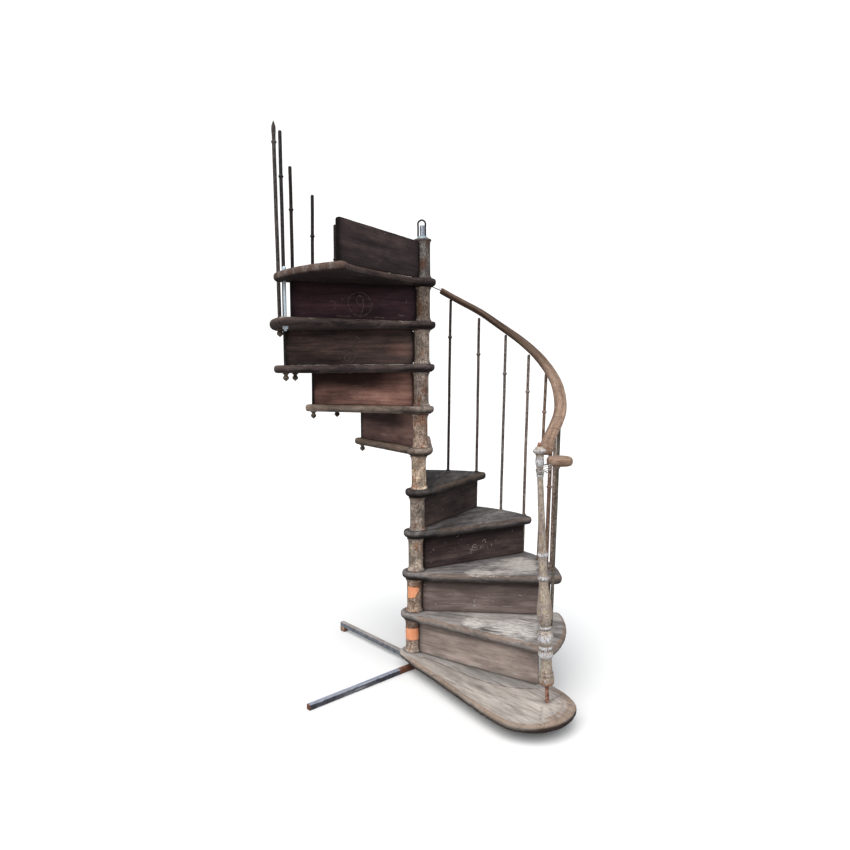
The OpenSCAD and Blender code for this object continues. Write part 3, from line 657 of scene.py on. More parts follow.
    rb = delaunay_2d_cdt([Vector(p) for p in ringN] + [Vector(p) for p in innerb],
                         [(k, (k + 1) % N) for k in range(N)], [list(range(N))], 1, 1e-4)
    VB = np.array([tuple(v) for v in rb[0]])
    V.append(np.c_[VB, np.full(len(VB), z0 - t)])
    lb = {o[0]: k for k, o in enumerate(rb[3]) if o and o[0] < N}
    for tri in rb[2]:
        p = [VB[k] for k in tri]
        s = (p[1][0] - p[0][0]) * (p[2][1] - p[0][1]) - (p[1][1] - p[0][1]) * (p[2][0] - p[0][0])
        tri = tuple(reversed(tri)) if s > 0 else tuple(tri)
        F.append(tuple(base + k for k in tri))
    for k in range(N):   # stitch the last ring to the bottom face
        m = (k + 1) % N
        if k in lb and m in lb:
            F.append((ids[-1][k], base + lb[k], base + lb[m], ids[-1][m]))
    V = np.concatenate(V)
    n_all = len(V)
    x, y, z = V[:, 0], V[:, 1], V[:, 2]
    edge = np.zeros(n_all)
    dtop = np.full(len(V2), 1e9)
    for k in range(0, N, 200):
        dtop = np.minimum(dtop, np.linalg.norm(V2[:, None] - P[None, k:k + 200], axis=2).min(1))
    edge[:len(V2)] = 0.85 * np.exp(-dtop / 9.0)
    for j in range(1, nr):
        s = len(V2) + (j - 1) * N
        edge[s:s + N] = (0.9, 0.95, 0.95, 0.9, 0.8, 0.7, 0.62, 0.56, 0.5, 0.46, 0.42, 0.4)[j - 1]
    edge[len(V2) + (nr - 1) * N:] = 0.45
    r_all = np.hypot(x - c[0], y - c[1])
    edge *= edge_gain * (1 - 0.5 * smooth01((110 - r_all) / 40))
    dark = np.zeros(n_all)
    dark[:len(V2)] += dkk * 1.5
    # painted shade along the riser that stands on this tread and round the drum
    a1 = dirn(i, i) if i > 1 else turn[0]
    cc = np.array([dx(i), 0.0])
    pp = po(turn[i - 1], 643)
    u = (pp - cc) / np.linalg.norm(pp - cc)
    al = (x - cc[0]) * u[0] + (y - cc[1]) * u[1]
    of = np.abs((x - cc[0]) * -u[1] + (y - cc[1]) * u[0])
    topv = np.zeros(n_all, bool)
    topv[:len(V2)] = True
    dark += topv * 0.75 * np.exp(-np.maximum(of - 8, 0) / 9.0) * (al > 30) * (al < np.linalg.norm(pp - cc) + 8)
    dark += topv * 0.7 * np.exp(-np.maximum(np.hypot(x - cc[0], y) - 44, 0) / 7.0)
    # painted shade: each tread's edge darkens towards its underside
    rim_shade_painted = {1: 0.8, 2: 0.35, 3: 0.5, 4: 0.5, 5: 0.4, 6: 0.3, 7: 0.3, 8: 0.35, 9: 0.35, 10: 0.25}[i]
    dark += (~topv) * rim_shade_painted * smooth01((z0 - z - (6 if i == 1 else 9 if i < 10 else 26)) / (16.0 if i < 10 else 10.0))
    if i == 10:
        # painted shade on the underside of tread 10
        dark += (z < z0 - 30) * (~topv) * 0.45
    # painted shadow: a dark line under the nosing
    if i < 10:   # bead line under the nosing
        dark += (~topv) * 0.35 * np.exp(-((z0 - z - 29) / 2.4) ** 2)
    # painted shade on the edge next to the drum
    dark += (~topv) * 0.32 * smooth01((118 - r_all) / 30.0) * smooth01((z0 - z - 13) / 6.0)
    if i == 1:   # bare brown wood round the blunt end
        ringy = 0.5 + 0.5 * np.sin(np.hypot(x - 470, (y + 560) * 1.1) / 4.6 + 2.2 * fbm(np.c_[x, y, np.zeros(len(x))], 1 / 60.0, 2, 8))
        edge += topv * (0.95 - 0.55 * ringy) * np.exp(-np.maximum(dtop_all(x, y, P) - 40, 0) / 46.0) * smooth01((x - 455) / 110.0) * (y < -420)
        dark += topv * 0.26 * (ringy > 0.8) * np.exp(-np.maximum(dtop_all(x, y, P) - 26, 0) / 40.0) * smooth01((x - 500) / 110.0) * (y < -440)
    wear = np.zeros(n_all)
    if wear_fn is not None:
        wear += wear_fn(x, y) * topv
        ringmask = (z > z0 - 10) & ~topv
        wear += wear_fn(x, y) * ringmask * 0.8
    if dark_fn is not None:
        dark += dark_fn(x, y, z - z0, topv)
    if i == 10:
        rimface = (~topv) & (z > z0 - 33)
        edge += rimface * 0.5 * smooth01((-238 - x) / 30.0)
        wear += rimface * 0.75 * smooth01((-238 - x) / 30.0) * (0.75 + 0.25 * np.sin(np.degrees(np.arctan2(y, x - 42)) * 1.1))
        dark += rimface * 0.30 * smooth01((x + 238) / 30.0)
        dark += rimface * 0.28 * smooth01((-238 - x) / 30.0) * np.exp(-((np.degrees(np.arctan2(y, x - 42)) % 7.3 - 3.6) / 0.45) ** 2)
        V[:, 2] -= drop10(x, y) * smooth01((r_all - 62) / 50.0)
    cool = np.zeros(n_all)
    if i == 1:   # the board behind the long crack
        L = np.array(CRACK, float)
        yc = np.interp(x, L[:, 0], L[:, 1])
        cool = topv * smooth01((y - yc) / 10.0) * (x < 600)
        dist = np.abs(y - yc) * 0.72
        dark += topv * (x > 30) * (x < 566) * (0.55 * np.exp(-(dist / 3.2) ** 2) * (0.55 + 0.45 * np.sin(x * 0.11 + 1.3 * np.sin(x * 0.037))) + 0.12 * np.exp(-(dist / 14.0) ** 2))
        # short radial splits at the round end
        for (ax, ay), (bx, by) in (((600, -540), (650, -492)), ((610, -575), (706, -592)), ((600, -600), (662, -716)), ((575, -610), (590, -742)), ((545, -600), (520, -700))):
            vx, vy = bx - ax, by - ay
            q = np.clip(((x - ax) * vx + (y - ay) * vy) / (vx * vx + vy * vy), 0, 1)
            dark += topv * 0.5 * np.exp(-(np.hypot(x - ax - q * vx, y - ay - q * vy) / 3.5) ** 2)
    return obj("tread_%d_worn" % i, V, F, mat, ["tread_%d" % i], dict(edge=edge, wear=wear, dark=dark, rim=cool), sharp=50)

def blob(cx0, cy0, a, b, ang, s=1.0):
    ca, sa = math.cos(rad(ang)), math.sin(rad(ang))
    def f(x, y):
        u = ((x - cx0) * ca + (y - cy0) * sa) / a
        v = (-(x - cx0) * sa + (y - cy0) * ca) / b
        return s * np.exp(-(u * u + v * v) ** 1.3)
    return f
def patch(pts, fall=22.0, s=1.0):
    """full strength inside the outline pts, fading over fall mm outside it"""
    P = np.array(pts, float)
    def f(x, y):
        ins = np.zeros(len(x), bool)
        d = np.full(len(x), 1e9)
        for (ax, ay), (bx, by) in zip(P, np.roll(P, -1, 0)):
            hit = (ay > y) != (by > y)
            if by != ay:
                ins ^= hit & (x < (bx - ax) * (y - ay) / (by - ay) + ax)
            vx, vy = bx - ax, by - ay
            q = np.clip(((x - ax) * vx + (y - ay) * vy) / (vx * vx + vy * vy), 0, 1)
            d = np.minimum(d, np.hypot(x - ax - q * vx, y - ay - q * vy))
        return s * np.where(ins, 1.0, np.exp(-(d / fall) ** 1.5))
    return f
def addf(*fs):
    return lambda x, y: sum(f(x, y) for f in fs)

def mid_ang(i): return (dirn(i - 1, i) + dirn(i, i)) / 2 if i > 1 else -52.0

# the darker colours of the upper treads partly hold the shade they stood in: painted shade
TW = {  # dark, mid, light, pale, brown seen colours of each tread
    1: ((128, 118, 110), (168, 158, 148), (190, 180, 170), (205, 198, 190), (142, 116, 95)),
    2: ((108, 102, 98), (142, 136, 133), (160, 152, 148), (205, 198, 193), (128, 104, 86)),
    3: ((92, 86, 84), (124, 118, 116), (146, 138, 134), (200, 190, 183), (110, 88, 72)),
    4: ((62, 58, 57), (88, 84, 84), (112, 108, 108), (150, 144, 140), (82, 66, 54)),
    5: ((46, 43, 43), (62, 59, 60), (84, 80, 79), (120, 114, 110), (86, 72, 60)),
    6: ((84, 73, 66), (112, 99, 91), (136, 122, 112), (175, 165, 155), (118, 96, 80)),
    7: ((84, 73, 66), (114, 102, 94), (138, 125, 115), (178, 168, 158), (118, 98, 82)),
    8: ((44, 38, 37), (64, 56, 54), (88, 78, 74), (140, 132, 126), (80, 66, 58)),
    9: ((34, 30, 29), (50, 44, 43), (70, 62, 58), (130, 124, 120), (64, 54, 47)),
    10: ((48, 42, 41), (70, 62, 60), (96, 86, 82), (120, 112, 106), (92, 74, 62)),
}
CRACK = [(62, -98), (110, -142), (197, -232), (262, -302), (330, -363), (380, -394), (433, -418), (490, -431), (548, -438)]

def build_treads():
    for i in range(1, 11):
        d, m, l, p, b = TW[i]
        k = dict(brown_amt=0.7 if i == 1 else 0.6, specks=0.5 if i in (1, 2, 3) else 0.25, seed=float(i))
        if i == 1:
            k.update(grain=(0.60, 0.026), fine_amt=1.15, contrast=0.55, wm=0.5, ms=(0.08, 0.016), blot_amt=0.45, crack_amt=0.7)
        elif i in (4, 5):
            k.update(grain=(0.30, 0.034), fine_amt=0.7, wm=0.5, ms=(0.05, 0.02), contrast=1.1, blot_amt=0.9)
        elif i > 5:
            k.update(grain=(0.34, 0.020), fine_amt=0.9, ms=(0.06, 0.014), contrast=1.0, blot_amt=0.9)
            if i == 10:
                k.update(contrast=0.7, blot_amt=0.3, fine_amt=0.6, crack_amt=0.5)
        else:
            k.update(grain=(0.36, 0.022), fine_amt=0.9, contrast=1.0, wm=0.5, ms=(0.04, 0.012), blot_amt=0.7)
        mat = wood("wood_tread_%d" % i, mid_ang(i), d, m, l, p, b, **k)
        wf, df, cr, wave = None, None, (), 2.2
        if i == 1:
            wf = addf(blob(430, -610, 190, 90, -50, 0.42), blob(250, -330, 160, 50, -48, 0.30), blob(560, -470, 90, 70, -30, 0.35))
            cr = ((CRACK, 2.4, 2.2), ([(150, -330), (236, -415), (300, -470), (352, -520)], 1.6, 1.6),
                  ([(396, -452), (426, -474), (493, -519), (556, -555)], 1.8, 1.8), ([(380, -560), (452, -600), (530, -640)], 1.5, 1.4), ([(300, -430), (350, -478), (410, -530)], 1.4, 1.3))
            wave = 2.6
            # painted shade on the lower edge at the round end; dark stains round the newel's hole
            df = lambda x, y, z, top: (0.95 * smooth01((-z - 5) / 15.0) * (~top) * smooth01((x - 440) / 150.0)
                                       + 0.5 * np.exp(-np.maximum(np.hypot(x - 575, y + 560) - 9, 0) / 9.0) * top
                                       + 0.28 * np.exp(-(np.hypot((x - 545) / 60.0, (y + 545) / 22.0)) ** 2) * top)
        if i == 2:
            wf = addf(patch([(246, -180), (266, -128), (310, -126), (343, -176), (424, -172), (511, -139), (596, -141), (562, -345), (540, -400), (505, -398), (440, -356), (368, -312), (313, -272), (262, -240)], 20, 0.62),
                      blob(290, -190, 60, 42, -50, 0.5), blob(480, -260, 110, 70, -50, 0.35))
        if i == 3:
            wf = addf(patch([(264, -50), (348, 50), (462, 150), (575, 225), (632, 150), (610, -60), (474, -128), (331, -125)], 20, 0.62),
                      blob(565, 60, 80, 110, 5, 0.55), blob(330, -60, 80, 45, 5, 0.35))
        if i == 4:
            wf = addf(blob(330, 120, 170, 70, 30, 0.30))
            wave = 3.2
        if i == 5:
            wf = blob(160, 90, 90, 60, 45, 0.30)
            wave = 4.5
        if i in (8, 9):
            # dust that has settled against the foot of the riser
            cc, pp = np.array([dx(i), 0.0]), po(turn[i - 1], 643)
            u = (pp - cc) / np.linalg.norm(pp - cc)
            def wf(x, y, cc=cc, u=u):
                al = (x - cc[0]) * u[0] + (y - cc[1]) * u[1]
                of = (x - cc[0]) * -u[1] + (y - cc[1]) * u[0]
                return 0.75 * np.exp(-((of - 26) / 9.0) ** 2) * (al > 60)
        tread(i, mat, wf, wave, cr, df, seed=i * 1.3)
build_treads()

# ------------------------------------------------------------------ risers
# seen colours of each riser; boards 3 and 4 are darker partly from the shade they stood in, which is painted into their
# colour
RW = {
    1: ((112, 98, 92), (144, 127, 120), (162, 146, 138), (200, 192, 186), (150, 120, 104)),
    2: ((84, 70, 66), (108, 92, 87), (126, 110, 104), (190, 182, 176), (120, 88, 76)),
    3: ((44, 36, 35), (62, 50, 48), (80, 66, 62), (185, 176, 170), (96, 58, 44)),
    4: ((36, 30, 30), (50, 43, 41), (66, 57, 54), (160, 150, 145), (66, 48, 42)),
    5: ((40, 32, 32), (56, 46, 44), (72, 60, 56), (150, 140, 134), (70, 50, 44)),
    6: ((72, 54, 50), (98, 73, 66), (118, 90, 80), (150, 128, 118), (124, 80, 64)),
    7: ((80, 56, 48), (108, 78, 66), (126, 94, 80), (150, 128, 116), (134, 90, 72)),
    8: ((44, 34, 31), (66, 51, 46), (92, 68, 60), (130, 118, 112), (100, 66, 54)),
    9: ((32, 22, 24), (44, 30, 32), (60, 40, 42), (110, 100, 100), (58, 36, 36)),
    10: ((44, 37, 35), (60, 51, 48), (76, 64, 58), (120, 110, 106), (76, 58, 48)),
}
def riser(i, mat):
    c = np.array([dx(i), 0.0])
    p = po(turn[i - 1], 656 if i == 1 else 643)
    v = p - c
    L = float(np.linalg.norm(v))
    u = v / L
    n = np.array([-u[1], u[0]])
    s0 = foot_r + 1.0
    lo = drop10(*p) if i == 10 else 0.0
    hi = drop10(*p) if i == 9 else 0.0
    h = riser_t / 2
    S = np.r_[s0, s0 + 1.2, np.linspace(s0 + 8, L - 16, 54), L - 14, L - 13, L - 11.5, L - 9.5, L - 7, L - 4.6, L - 2.8, L - 1.6, L - .8, L - .3, L]
    rings, al = [], []
    nv = 17
    vv = np.r_[0, 0.006, np.linspace(0.03, 0.97, nv), 0.994, 1.0]
    for s in S:
        end = 1.6 if s in (s0, L) else 0.6 if s > L - .5 else 0.3 if (s < s0 + 2 or s > L - 1) else 0.0
        zb = zt(i) - lo * max(0.0, s - 60) / (L - 60) - 0.0
        ztop = zt(i) + (landing_h if i == 10 else gap - hi * max(0.0, s - 60) / (L - 60)) - 0.3
        if i == 10 and s > L - 14:
            ztop = zt(i) + landing_h - 14 + math.sqrt(max(0.0, 14 ** 2 - (s - (L - 14)) ** 2))
        if i == 10:
            zb += 0.0
            ztop -= 1.2 + 1.0 * float(fbm([[s, 0, 0]], 1 / 60.0, 2, 3)[0])
        zz = zb + (ztop - zb) * vv
        thick = np.full(len(vv), h - end)
        thick[0] -= 1.2; thick[-1] -= 1.6; thick[1] -= 0.3; thick[-2] -= 0.4
        q = np.c_[np.full(len(vv), s), np.zeros(len(vv)), zz]
        w1 = fbm(q, 1 / 130.0, 2, i * 2.1) * 0.8 + 0.8
        w2 = fbm(q, 1 / 130.0, 2, i * 2.1 + 40) * 0.8 + 0.8
        f1 = np.c_[c + u * s - n * 0, zz] if False else None
        A = np.c_[np.outer(thick - w1 * 0.5, -n) + c + u * s, zz]
        Bk = np.c_[np.outer(thick - w2 * 0.5, n) + c + u * s, zz]
        rings.append(np.vstack([A, Bk[::-1]]))
        al.append(np.full(2 * len(vv), s))
    # the tongue that stands against the drum between its two flanges
    top_t = zt(i) + (landing_h if i == 10 else gap) - 9
    tr = []
    for s in (drum_r - 2.0, drum_r + 0.4, s0 - 1, s0 + 1.5):
        zz = zt(i) + 9 + (top_t - zt(i) - 9) * vv
        th = np.full(len(vv), 5.0 - (0.8 if s < drum_r + 1 else 0.0))
        A = np.c_[np.outer(th, -n) + c + u * s, zz]
        Bk = np.c_[np.outer(th, n) + c + u * s, zz]
        tr.append(np.vstack([A, Bk[::-1]]))
    V, F = loft(rings)
    VT, FT = loft(tr)
    V, F = join([(V, F), (VT, FT)])
    s = np.r_[np.concatenate(al), np.full(len(VT), s0)]
    v1 = np.r_[np.tile(np.r_[vv, vv[::-1]], len(S)), np.full(len(VT), 0.9)]
    Q = np.c_[s, np.zeros(len(s)), v1 * gap]
    edge = 0.9 * np.exp(-np.minimum(np.minimum(v1, 1 - v1) * gap, L - s) / 4.0)
    # painted shade under the tread above, along the foot and beside the drum; boards 6 and up also darken towards their
    # outer end, and boards 8 and 9 in a low band
    band = {1: (0.66, 1.0, 0.42), 2: (0.5, 1.0, 0.6), 3: (0.45, 1.0, 0.7), 4: (0.45, 1.0, 0.6), 5: (0.5, 1.0, 0.7), 6: (0.30, 0.92, 0.85),
            7: (0.36, 0.90, 1.0), 8: (0.5, 1.0, 0.5), 9: (0.4, 1.0, 0.5), 10: (2.0, 3.0, 0.0)}[i]
    bow = 0.10 * np.sin(np.clip(s / L, 0, 1) * math.pi) if i in (6, 7) else 0.0
    up = smooth01((v1 + bow - band[0]) / (band[1] - band[0]))
    if i in (6, 7):
        up = up * (0.30 + 0.70 * smooth01((s - 90) / 190.0))
    band = (band[0], band[2])
    dark = band[1] * up + 0.35 * np.exp(-v1 * gap / 9.0) + 0.8 * np.exp(-(s - s0) / 13.0)
    if i >= 6:
        dark += 0.6 * np.exp(-(L - s) / 13.0) + 0.22 * np.exp(-(L - s) / 60.0)
    if i in (8, 9):
        dark += 0.30 * np.exp(-((v1 - 0.15) / 0.12) ** 2)
    if i == 10:
        dark += 0.30 * np.exp(-((s - s0) / 120.0) ** 2) + 0.25 * np.exp(-(L - s) / 8.0)
    if i == 3:
        edge += 0.75 * np.exp(-(((s - 170) / 110.0) ** 2 + ((v1 - 0.45) / 0.22) ** 2))
    if i == 8:
        edge += 0.9 * np.exp(-(((s - 120) / 110.0) ** 2 + ((v1 - 0.5) / 0.35) ** 2))
    if i == 5:
        edge += 0.5 * np.exp(-(((s - 260) / 90.0) ** 2 + ((v1 - 0.5) / 0.3) ** 2))
    wear = 0.10 * fbm(Q, 1 / 60.0, 2, i)
    if i == 3:
        wear += 0.55 * np.exp(-(((s - 322) / 36.0) ** 2 + ((v1 - 0.30) / 0.13) ** 2)) + 0.42 * np.exp(-(((s - 430) / 20.0) ** 2 + ((v1 - 0.42) / 0.12) ** 2))
        wear += 0.45 * np.exp(-(((s - 405) / 9.0) ** 2 + ((v1 - 0.2) / 0.07) ** 2))
    if i == 4:
        wear += 0.5 * np.exp(-(((s - 250) / 9.0) ** 2 + ((v1 - 0.3) / 0.07) ** 2))
    if i == 2:
        wear += 0.42 * np.exp(-(((s - 300) / 12.0) ** 2 + ((v1 - 0.22) / 0.1) ** 2)) + 0.10 * (v1 < 0.45)
    if i == 1:
        wear += 0.30 * np.clip(0.5 - v1, 0, 1) * 2
    return obj("riser_%d_board" % i, V, F, mat, ["riser_%d" % i], dict(edge=edge, wear=wear, dark=dark), sharp=40)

def ribbon(pts, wdt, nrm3, closed=False):
    """a flat chalk stroke through pts, wdt wide, lying on a face with normal nrm3"""
    P = np.array(pts, float)
    T = (np.roll(P, -1, 0) - np.roll(P, 1, 0)) if closed else np.gradient(P, axis=0)
    T /= np.linalg.norm(T, axis=1)[:, None]
    side = np.cross(nrm3, T)
    rings = []
    for k in range(len(P)):
        w = wdt * (0.75 + 0.35 * math.sin(k * 1.7))
        a, b = P[k] - side[k] * w / 2, P[k] + side[k] * w / 2
        rings.append(np.array([a, b, b + nrm3 * 0.22, a + nrm3 * 0.22]))
    return loft(rings, cap=not closed, closed=closed)

def chalk_mat():
    g = G("chalk_dust")
    a = g.noise(g.map((0.004, 0.004, 0.004)), 3, 0.6)
    return g.done(g.mix(g.rng(a, 0.4, 0.6), srgb(146, 134, 128, KW * 1.8), srgb(84, 70, 66, KW * 1.8)), 0.95, spec=0.05)

def build_chalk():
    """faint chalk position marks: a number in a ring on three of the boards"""
    cm = chalk_mat()
    arc = lambda a0, a1, rx, ry, ox=0.0, oy=0.0, n=16: [(ox + rx * math.cos(rad(a)), oy + ry * math.sin(rad(a))) for a in np.linspace(a0, a1, n)]
    glyph = {9: [arc(-20, 340, 11, 13, 0, 12), [(11, 10), (12, -4), (8, -18), (1, -30)]],
             8: [arc(-90, 270, 10, 11, 1, 12, 20), arc(90, 450, 13, 13, 0, -13, 20)],
             7: [[(-1, 26), (0, 8), (1, -10), (2, -24)]]}
    for i, (px, pz, R) in {9: (-228, 1797, 58), 8: (-304, 1570, 41), 7: (-273, 1379, 44)}.items():
        c = np.array([dx(i), 0.0])
        p = po(turn[i - 1], 643)
        u = (p - c) / np.linalg.norm(p - c)
        n = np.array([-u[1], u[0]])
        sc = (px - c[0]) / u[0]
        o = np.r_[c + u * sc + n * (riser_t / 2 - 0.1), pz]
        U, Wv, N3 = np.r_[-u, 0.0], np.array([0, 0, 1.0]), np.r_[n, 0.0]
        parts = []
        ringp = [(R * (1 + 0.05 * math.sin(2 * a + i)) * math.cos(a), R * 0.93 * math.sin(a)) for a in np.linspace(0.4, 2 * math.pi + 0.1 + 0.1 * (i - 8), 44)]
        for line in [ringp] + glyph[i]:
            m = 1.0 if line is ringp else 1.55 if i == 9 else 1.1
            parts.append(ribbon([o + U * a * m + Wv * b * m for a, b in line], 2.0 if line is ringp else 2.8, N3))
        V, F = join(parts)
        obj("chalk_mark_%d" % i, V, F, cm)

def build_risers():
    for i in range(1, 11):
        d, m, l, p, b = RW[i]
        v = po(turn[i - 1], 643) - np.array([dx(i), 0.0])
        mat = wood("wood_riser_%d" % i, deg(math.atan2(v[1], v[0])), d, m, l, p, b, contrast=0.62 if i < 3 else 0.9,
                   specks=0.8 if i in (1, 2, 3) else 0.4, brown_amt=0.45 if i in (3, 5, 8) else 0.3, rough=(0.5, 0.8), seed=20.0 + i,
                   fine_amt=1.0 if i < 3 else 0.8, crack_amt=0.35, blot_amt=0.55, grain=(0.45, 0.030), wm=0.55, ms=(0.10, 0.022))
        riser(i, mat)
def build_scratches():
    """pale scratches and flecks on the lower boards: strokes of (way along, height) on the face towards the front"""
    g = G("pale_scratch")
    a = g.noise(g.map((0.005, 0.005, 0.005)), 3, 0.6)
    mats = {"hi": g.done(g.mix(g.rng(a, 0.42, 0.6), srgb(196, 188, 182, KW * 1.5), srgb(130, 116, 110, KW * 1.5)), 0.95, spec=0.05)}
    g = G("pale_scratch_low")
    a = g.noise(g.map((0.005, 0.005, 0.005)), 3, 0.6)
    mats["lo"] = g.done(g.mix(g.rng(a, 0.42, 0.6), srgb(150, 140, 132, KW * 1.7), srgb(84, 72, 66, KW * 1.7)), 0.95, spec=0.05)
    arc = lambda s, z, r, a0, a1, n=9: [(s + r * math.cos(rad(q)), z + r * math.sin(rad(q))) for q in np.linspace(a0, a1, n)]
    marks = {
        1: ("hi", [[(560, 96), (556, 84), (563, 76)], [(566, 92), (561, 84)], [(320, 120), (321, 112)], [(470, 60), (478, 58)], [(250, 92), (256, 91)]]),
        2: ("hi", [[(292, 66), (299, 52), (306, 46)], [(306, 66), (301, 54)], [(372, 92), (373, 84)], [(392, 60), (396, 52)], [(440, 34), (470, 36), (486, 35)],
                   [(180, 40), (205, 42)], [(520, 92), (532, 91)]]),
        3: ("hi", [arc(336, 64, 9, 200, 20), arc(352, 66, 8, 160, -20), arc(344, 72, 14, 150, 40), [(328, 74), (336, 80)], arc(385, 68, 5, 0, 320),
                   arc(404, 96, 9, 190, -10), [(412, 96), (415, 86)], [(424, 60), (428, 56)], [(448, 78), (452, 66)], [(300, 90), (306, 91)], [(466, 40), (472, 38)], [(318, 52), (326, 50)]]),
        4: ("lo", [[(246, 52), (251, 66), (257, 52), (246, 52)], [(120, 100), (150, 101)], [(300, 90), (318, 91)]]),
        8: ("lo", [[(300, 128), (312, 118), (305, 108)], arc(318, 126, 9, 20, 170), [(290, 112), (322, 104)]]),
        9: ("lo", [arc(470, 66, 11, 30, 220), arc(455, 50, 7, 160, 380), [(420, 84), (426, 90)], [(90, 96), (96, 84)], [(380, 12), (420, 11), (452, 13)], [(210, 10), (260, 12)]]),
        10: ("lo", [[(300 + 9 * k, 78 - 5 * k + 7 * math.sin(k * 2.3)), (303 + 9 * k, 74 - 5 * k + 7 * math.sin(k * 2.3))] for k in range(11)]
             + [[(288 + 7 * k, 92 - 2 * k), (290 + 7 * k, 90 - 2 * k)] for k in range(6)] + [[(150, 120), (158, 116)], arc(330, 150, 9, 20, 150)]),
    }
    for i, (kind, strokes) in marks.items():
        c = np.array([dx(i), 0.0])
        p = po(turn[i - 1], 656 if i == 1 else 643)
        u = (p - c) / np.linalg.norm(p - c)
        n = np.array([-u[1], u[0]]) * (-1 if i < 6 else 1)
        N3 = np.r_[n, 0.0]
        parts = []
        for k, st in enumerate(strokes):
            q = np.array(st, float)
            if len(q) < 5:
                t = np.linspace(0, 1, 6)
                d = np.r_[0, np.cumsum(np.linalg.norm(np.diff(q, axis=0), axis=1))]
                q = np.c_[np.interp(t * d[-1], d, q[:, 0]), np.interp(t * d[-1], d, q[:, 1])]
            P3 = [np.r_[c + u * a + n * (riser_t / 2 - 0.12), zt(i) + b] for a, b in q]
            parts.append(ribbon(P3, 3.0 if kind == "hi" else 2.4, N3))
        V, F = join(parts)
        obj("scratches_%d" % i, V, F, mats[kind])

build_risers()
build_chalk()
build_scratches()

# ------------------------------------------------------------------ drums
def drum_profile(h):
    foot = [(foot_r - 1.6, 0), (foot_r - .3, .8), (foot_r, 2.6), (foot_r, 5.6), (foot_r - .9, 7.8), (foot_r - 3.4, 9.4),
            (drum_r + 2.6, 11.4), (drum_r + 1.5, 14.5), (drum_r + .7, 19), (drum_r + .2, 26), (drum_r, 33)]
    mid = [(drum_r, t) for t in np.linspace(41, h - 41, 18)]
    return foot + mid + [(r, h - t) for r, t in reversed(foot)]
DC = {1: (0.8, 0.7, 0.6), 2: (0.75, 0.7, 0.5), 3: (0.55, 0.5, 0.6), 4: (0.45, 0.6, 0.6), 5: (0.55, 0.5, 0.5),
      6: (0.7, 0.45, 0.5), 7: (0.7, 0.8, 0.6), 8: (0.35, 1.0, 0.4), 9: (0.4, 0.8, 0.35), 10: (0.6, 0.8, 0.4)}
def build_drums():
    for i in range(1, 11):
        h = top_h if i == 10 else gap
        prof = drum_profile(h)
        o = np.array([dx(i), 0, zt(i)])
        V, F = lathe(o, o + [0, 0, h], prof, 72,
                     lambda r, ph, t, i=i: r + 0.0)
        q = V.copy()
        rr = fbm(q, 1 / 26.0, 3, 50 + i) * 0.55 - 0.35
        dv = V[:, :2] - o[:2]
        dv /= np.maximum(np.linalg.norm(dv, axis=1), 1e-6)[:, None]
        V[:, :2] += dv * rr[:, None]
        t = V[:, 2] - zt(i)
        # painted highlight along the top and bottom rims; painted shade at the foot and under the tread above
        rim_a = np.exp(-(np.minimum(t, h - t) / 9.0) ** 2)
        dark = 0.35 * np.exp(-t / 2.5) + 0.9 * smooth01((t - h + 9) / 8.0) * (i < 10)
        ru, da, wh = DC[i]
        base = (178, 160, 138) if i < 8 else (150, 136, 120)
        shade = (146, 128, 110) if i < 8 else (118, 102, 90)
        mat = paint_on_iron("drum_paint_%d" % i, base, shade, (140, 94, 64), (58, 48, 42), (222, 214, 202),
                            rust_amt=ru, dark_amt=da, white_amt=wh, seed=float(i))
        obj("drum_%d_cast" % i, V, F, mat, ["drum_%d" % i], dict(rim=rim_a, dark=dark), sharp=45)
build_drums()

def tape(name, i, z_lo, z_hi, a0, a1, shape, mat):
    """a strip stuck on a drum. shape(f, v) trims the height at the share f along the strip"""
    o = np.array([dx(i), 0.0])
    n = 60
    V, F = [], []
    m = 9
    for side, rr in ((0, drum_r + 0.55), (1, drum_r + 0.1)):
        for k in range(n + 1):
            f = k / n
            a = rad(a0 + (a1 - a0) * f)
            lo, hi = shape(f)
            for j in range(m):
                z = z_lo + (z_hi - z_lo) * (lo + (hi - lo) * j / (m - 1))
                wr = 0.25 * math.sin(f * 40 + j) * (1 - side)
                V.append((o[0] + (rr + wr) * math.cos(a), o[1] + (rr + wr) * math.sin(a), z))
    N1 = (n + 1) * m
    for k in range(n):
        for j in range(m - 1):
            a, b = k * m + j, (k + 1) * m + j
            F.append((a, b, b + 1, a + 1))
            F.append((N1 + a, N1 + a + 1, N1 + b + 1, N1 + b))
        F.append((k * m, N1 + k * m, N1 + (k + 1) * m, (k + 1) * m))
        F.append((k * m + m - 1, (k + 1) * m + m - 1, N1 + (k + 1) * m + m - 1, N1 + k * m + m - 1))
    for k in (0, n):
        for j in range(m - 1):
            a = k * m + j
            F.append((a, a + 1, N1 + a + 1, N1 + a) if k == 0 else (a, N1 + a, N1 + a + 1, a + 1))
    return obj(name, np.array(V), F, mat)

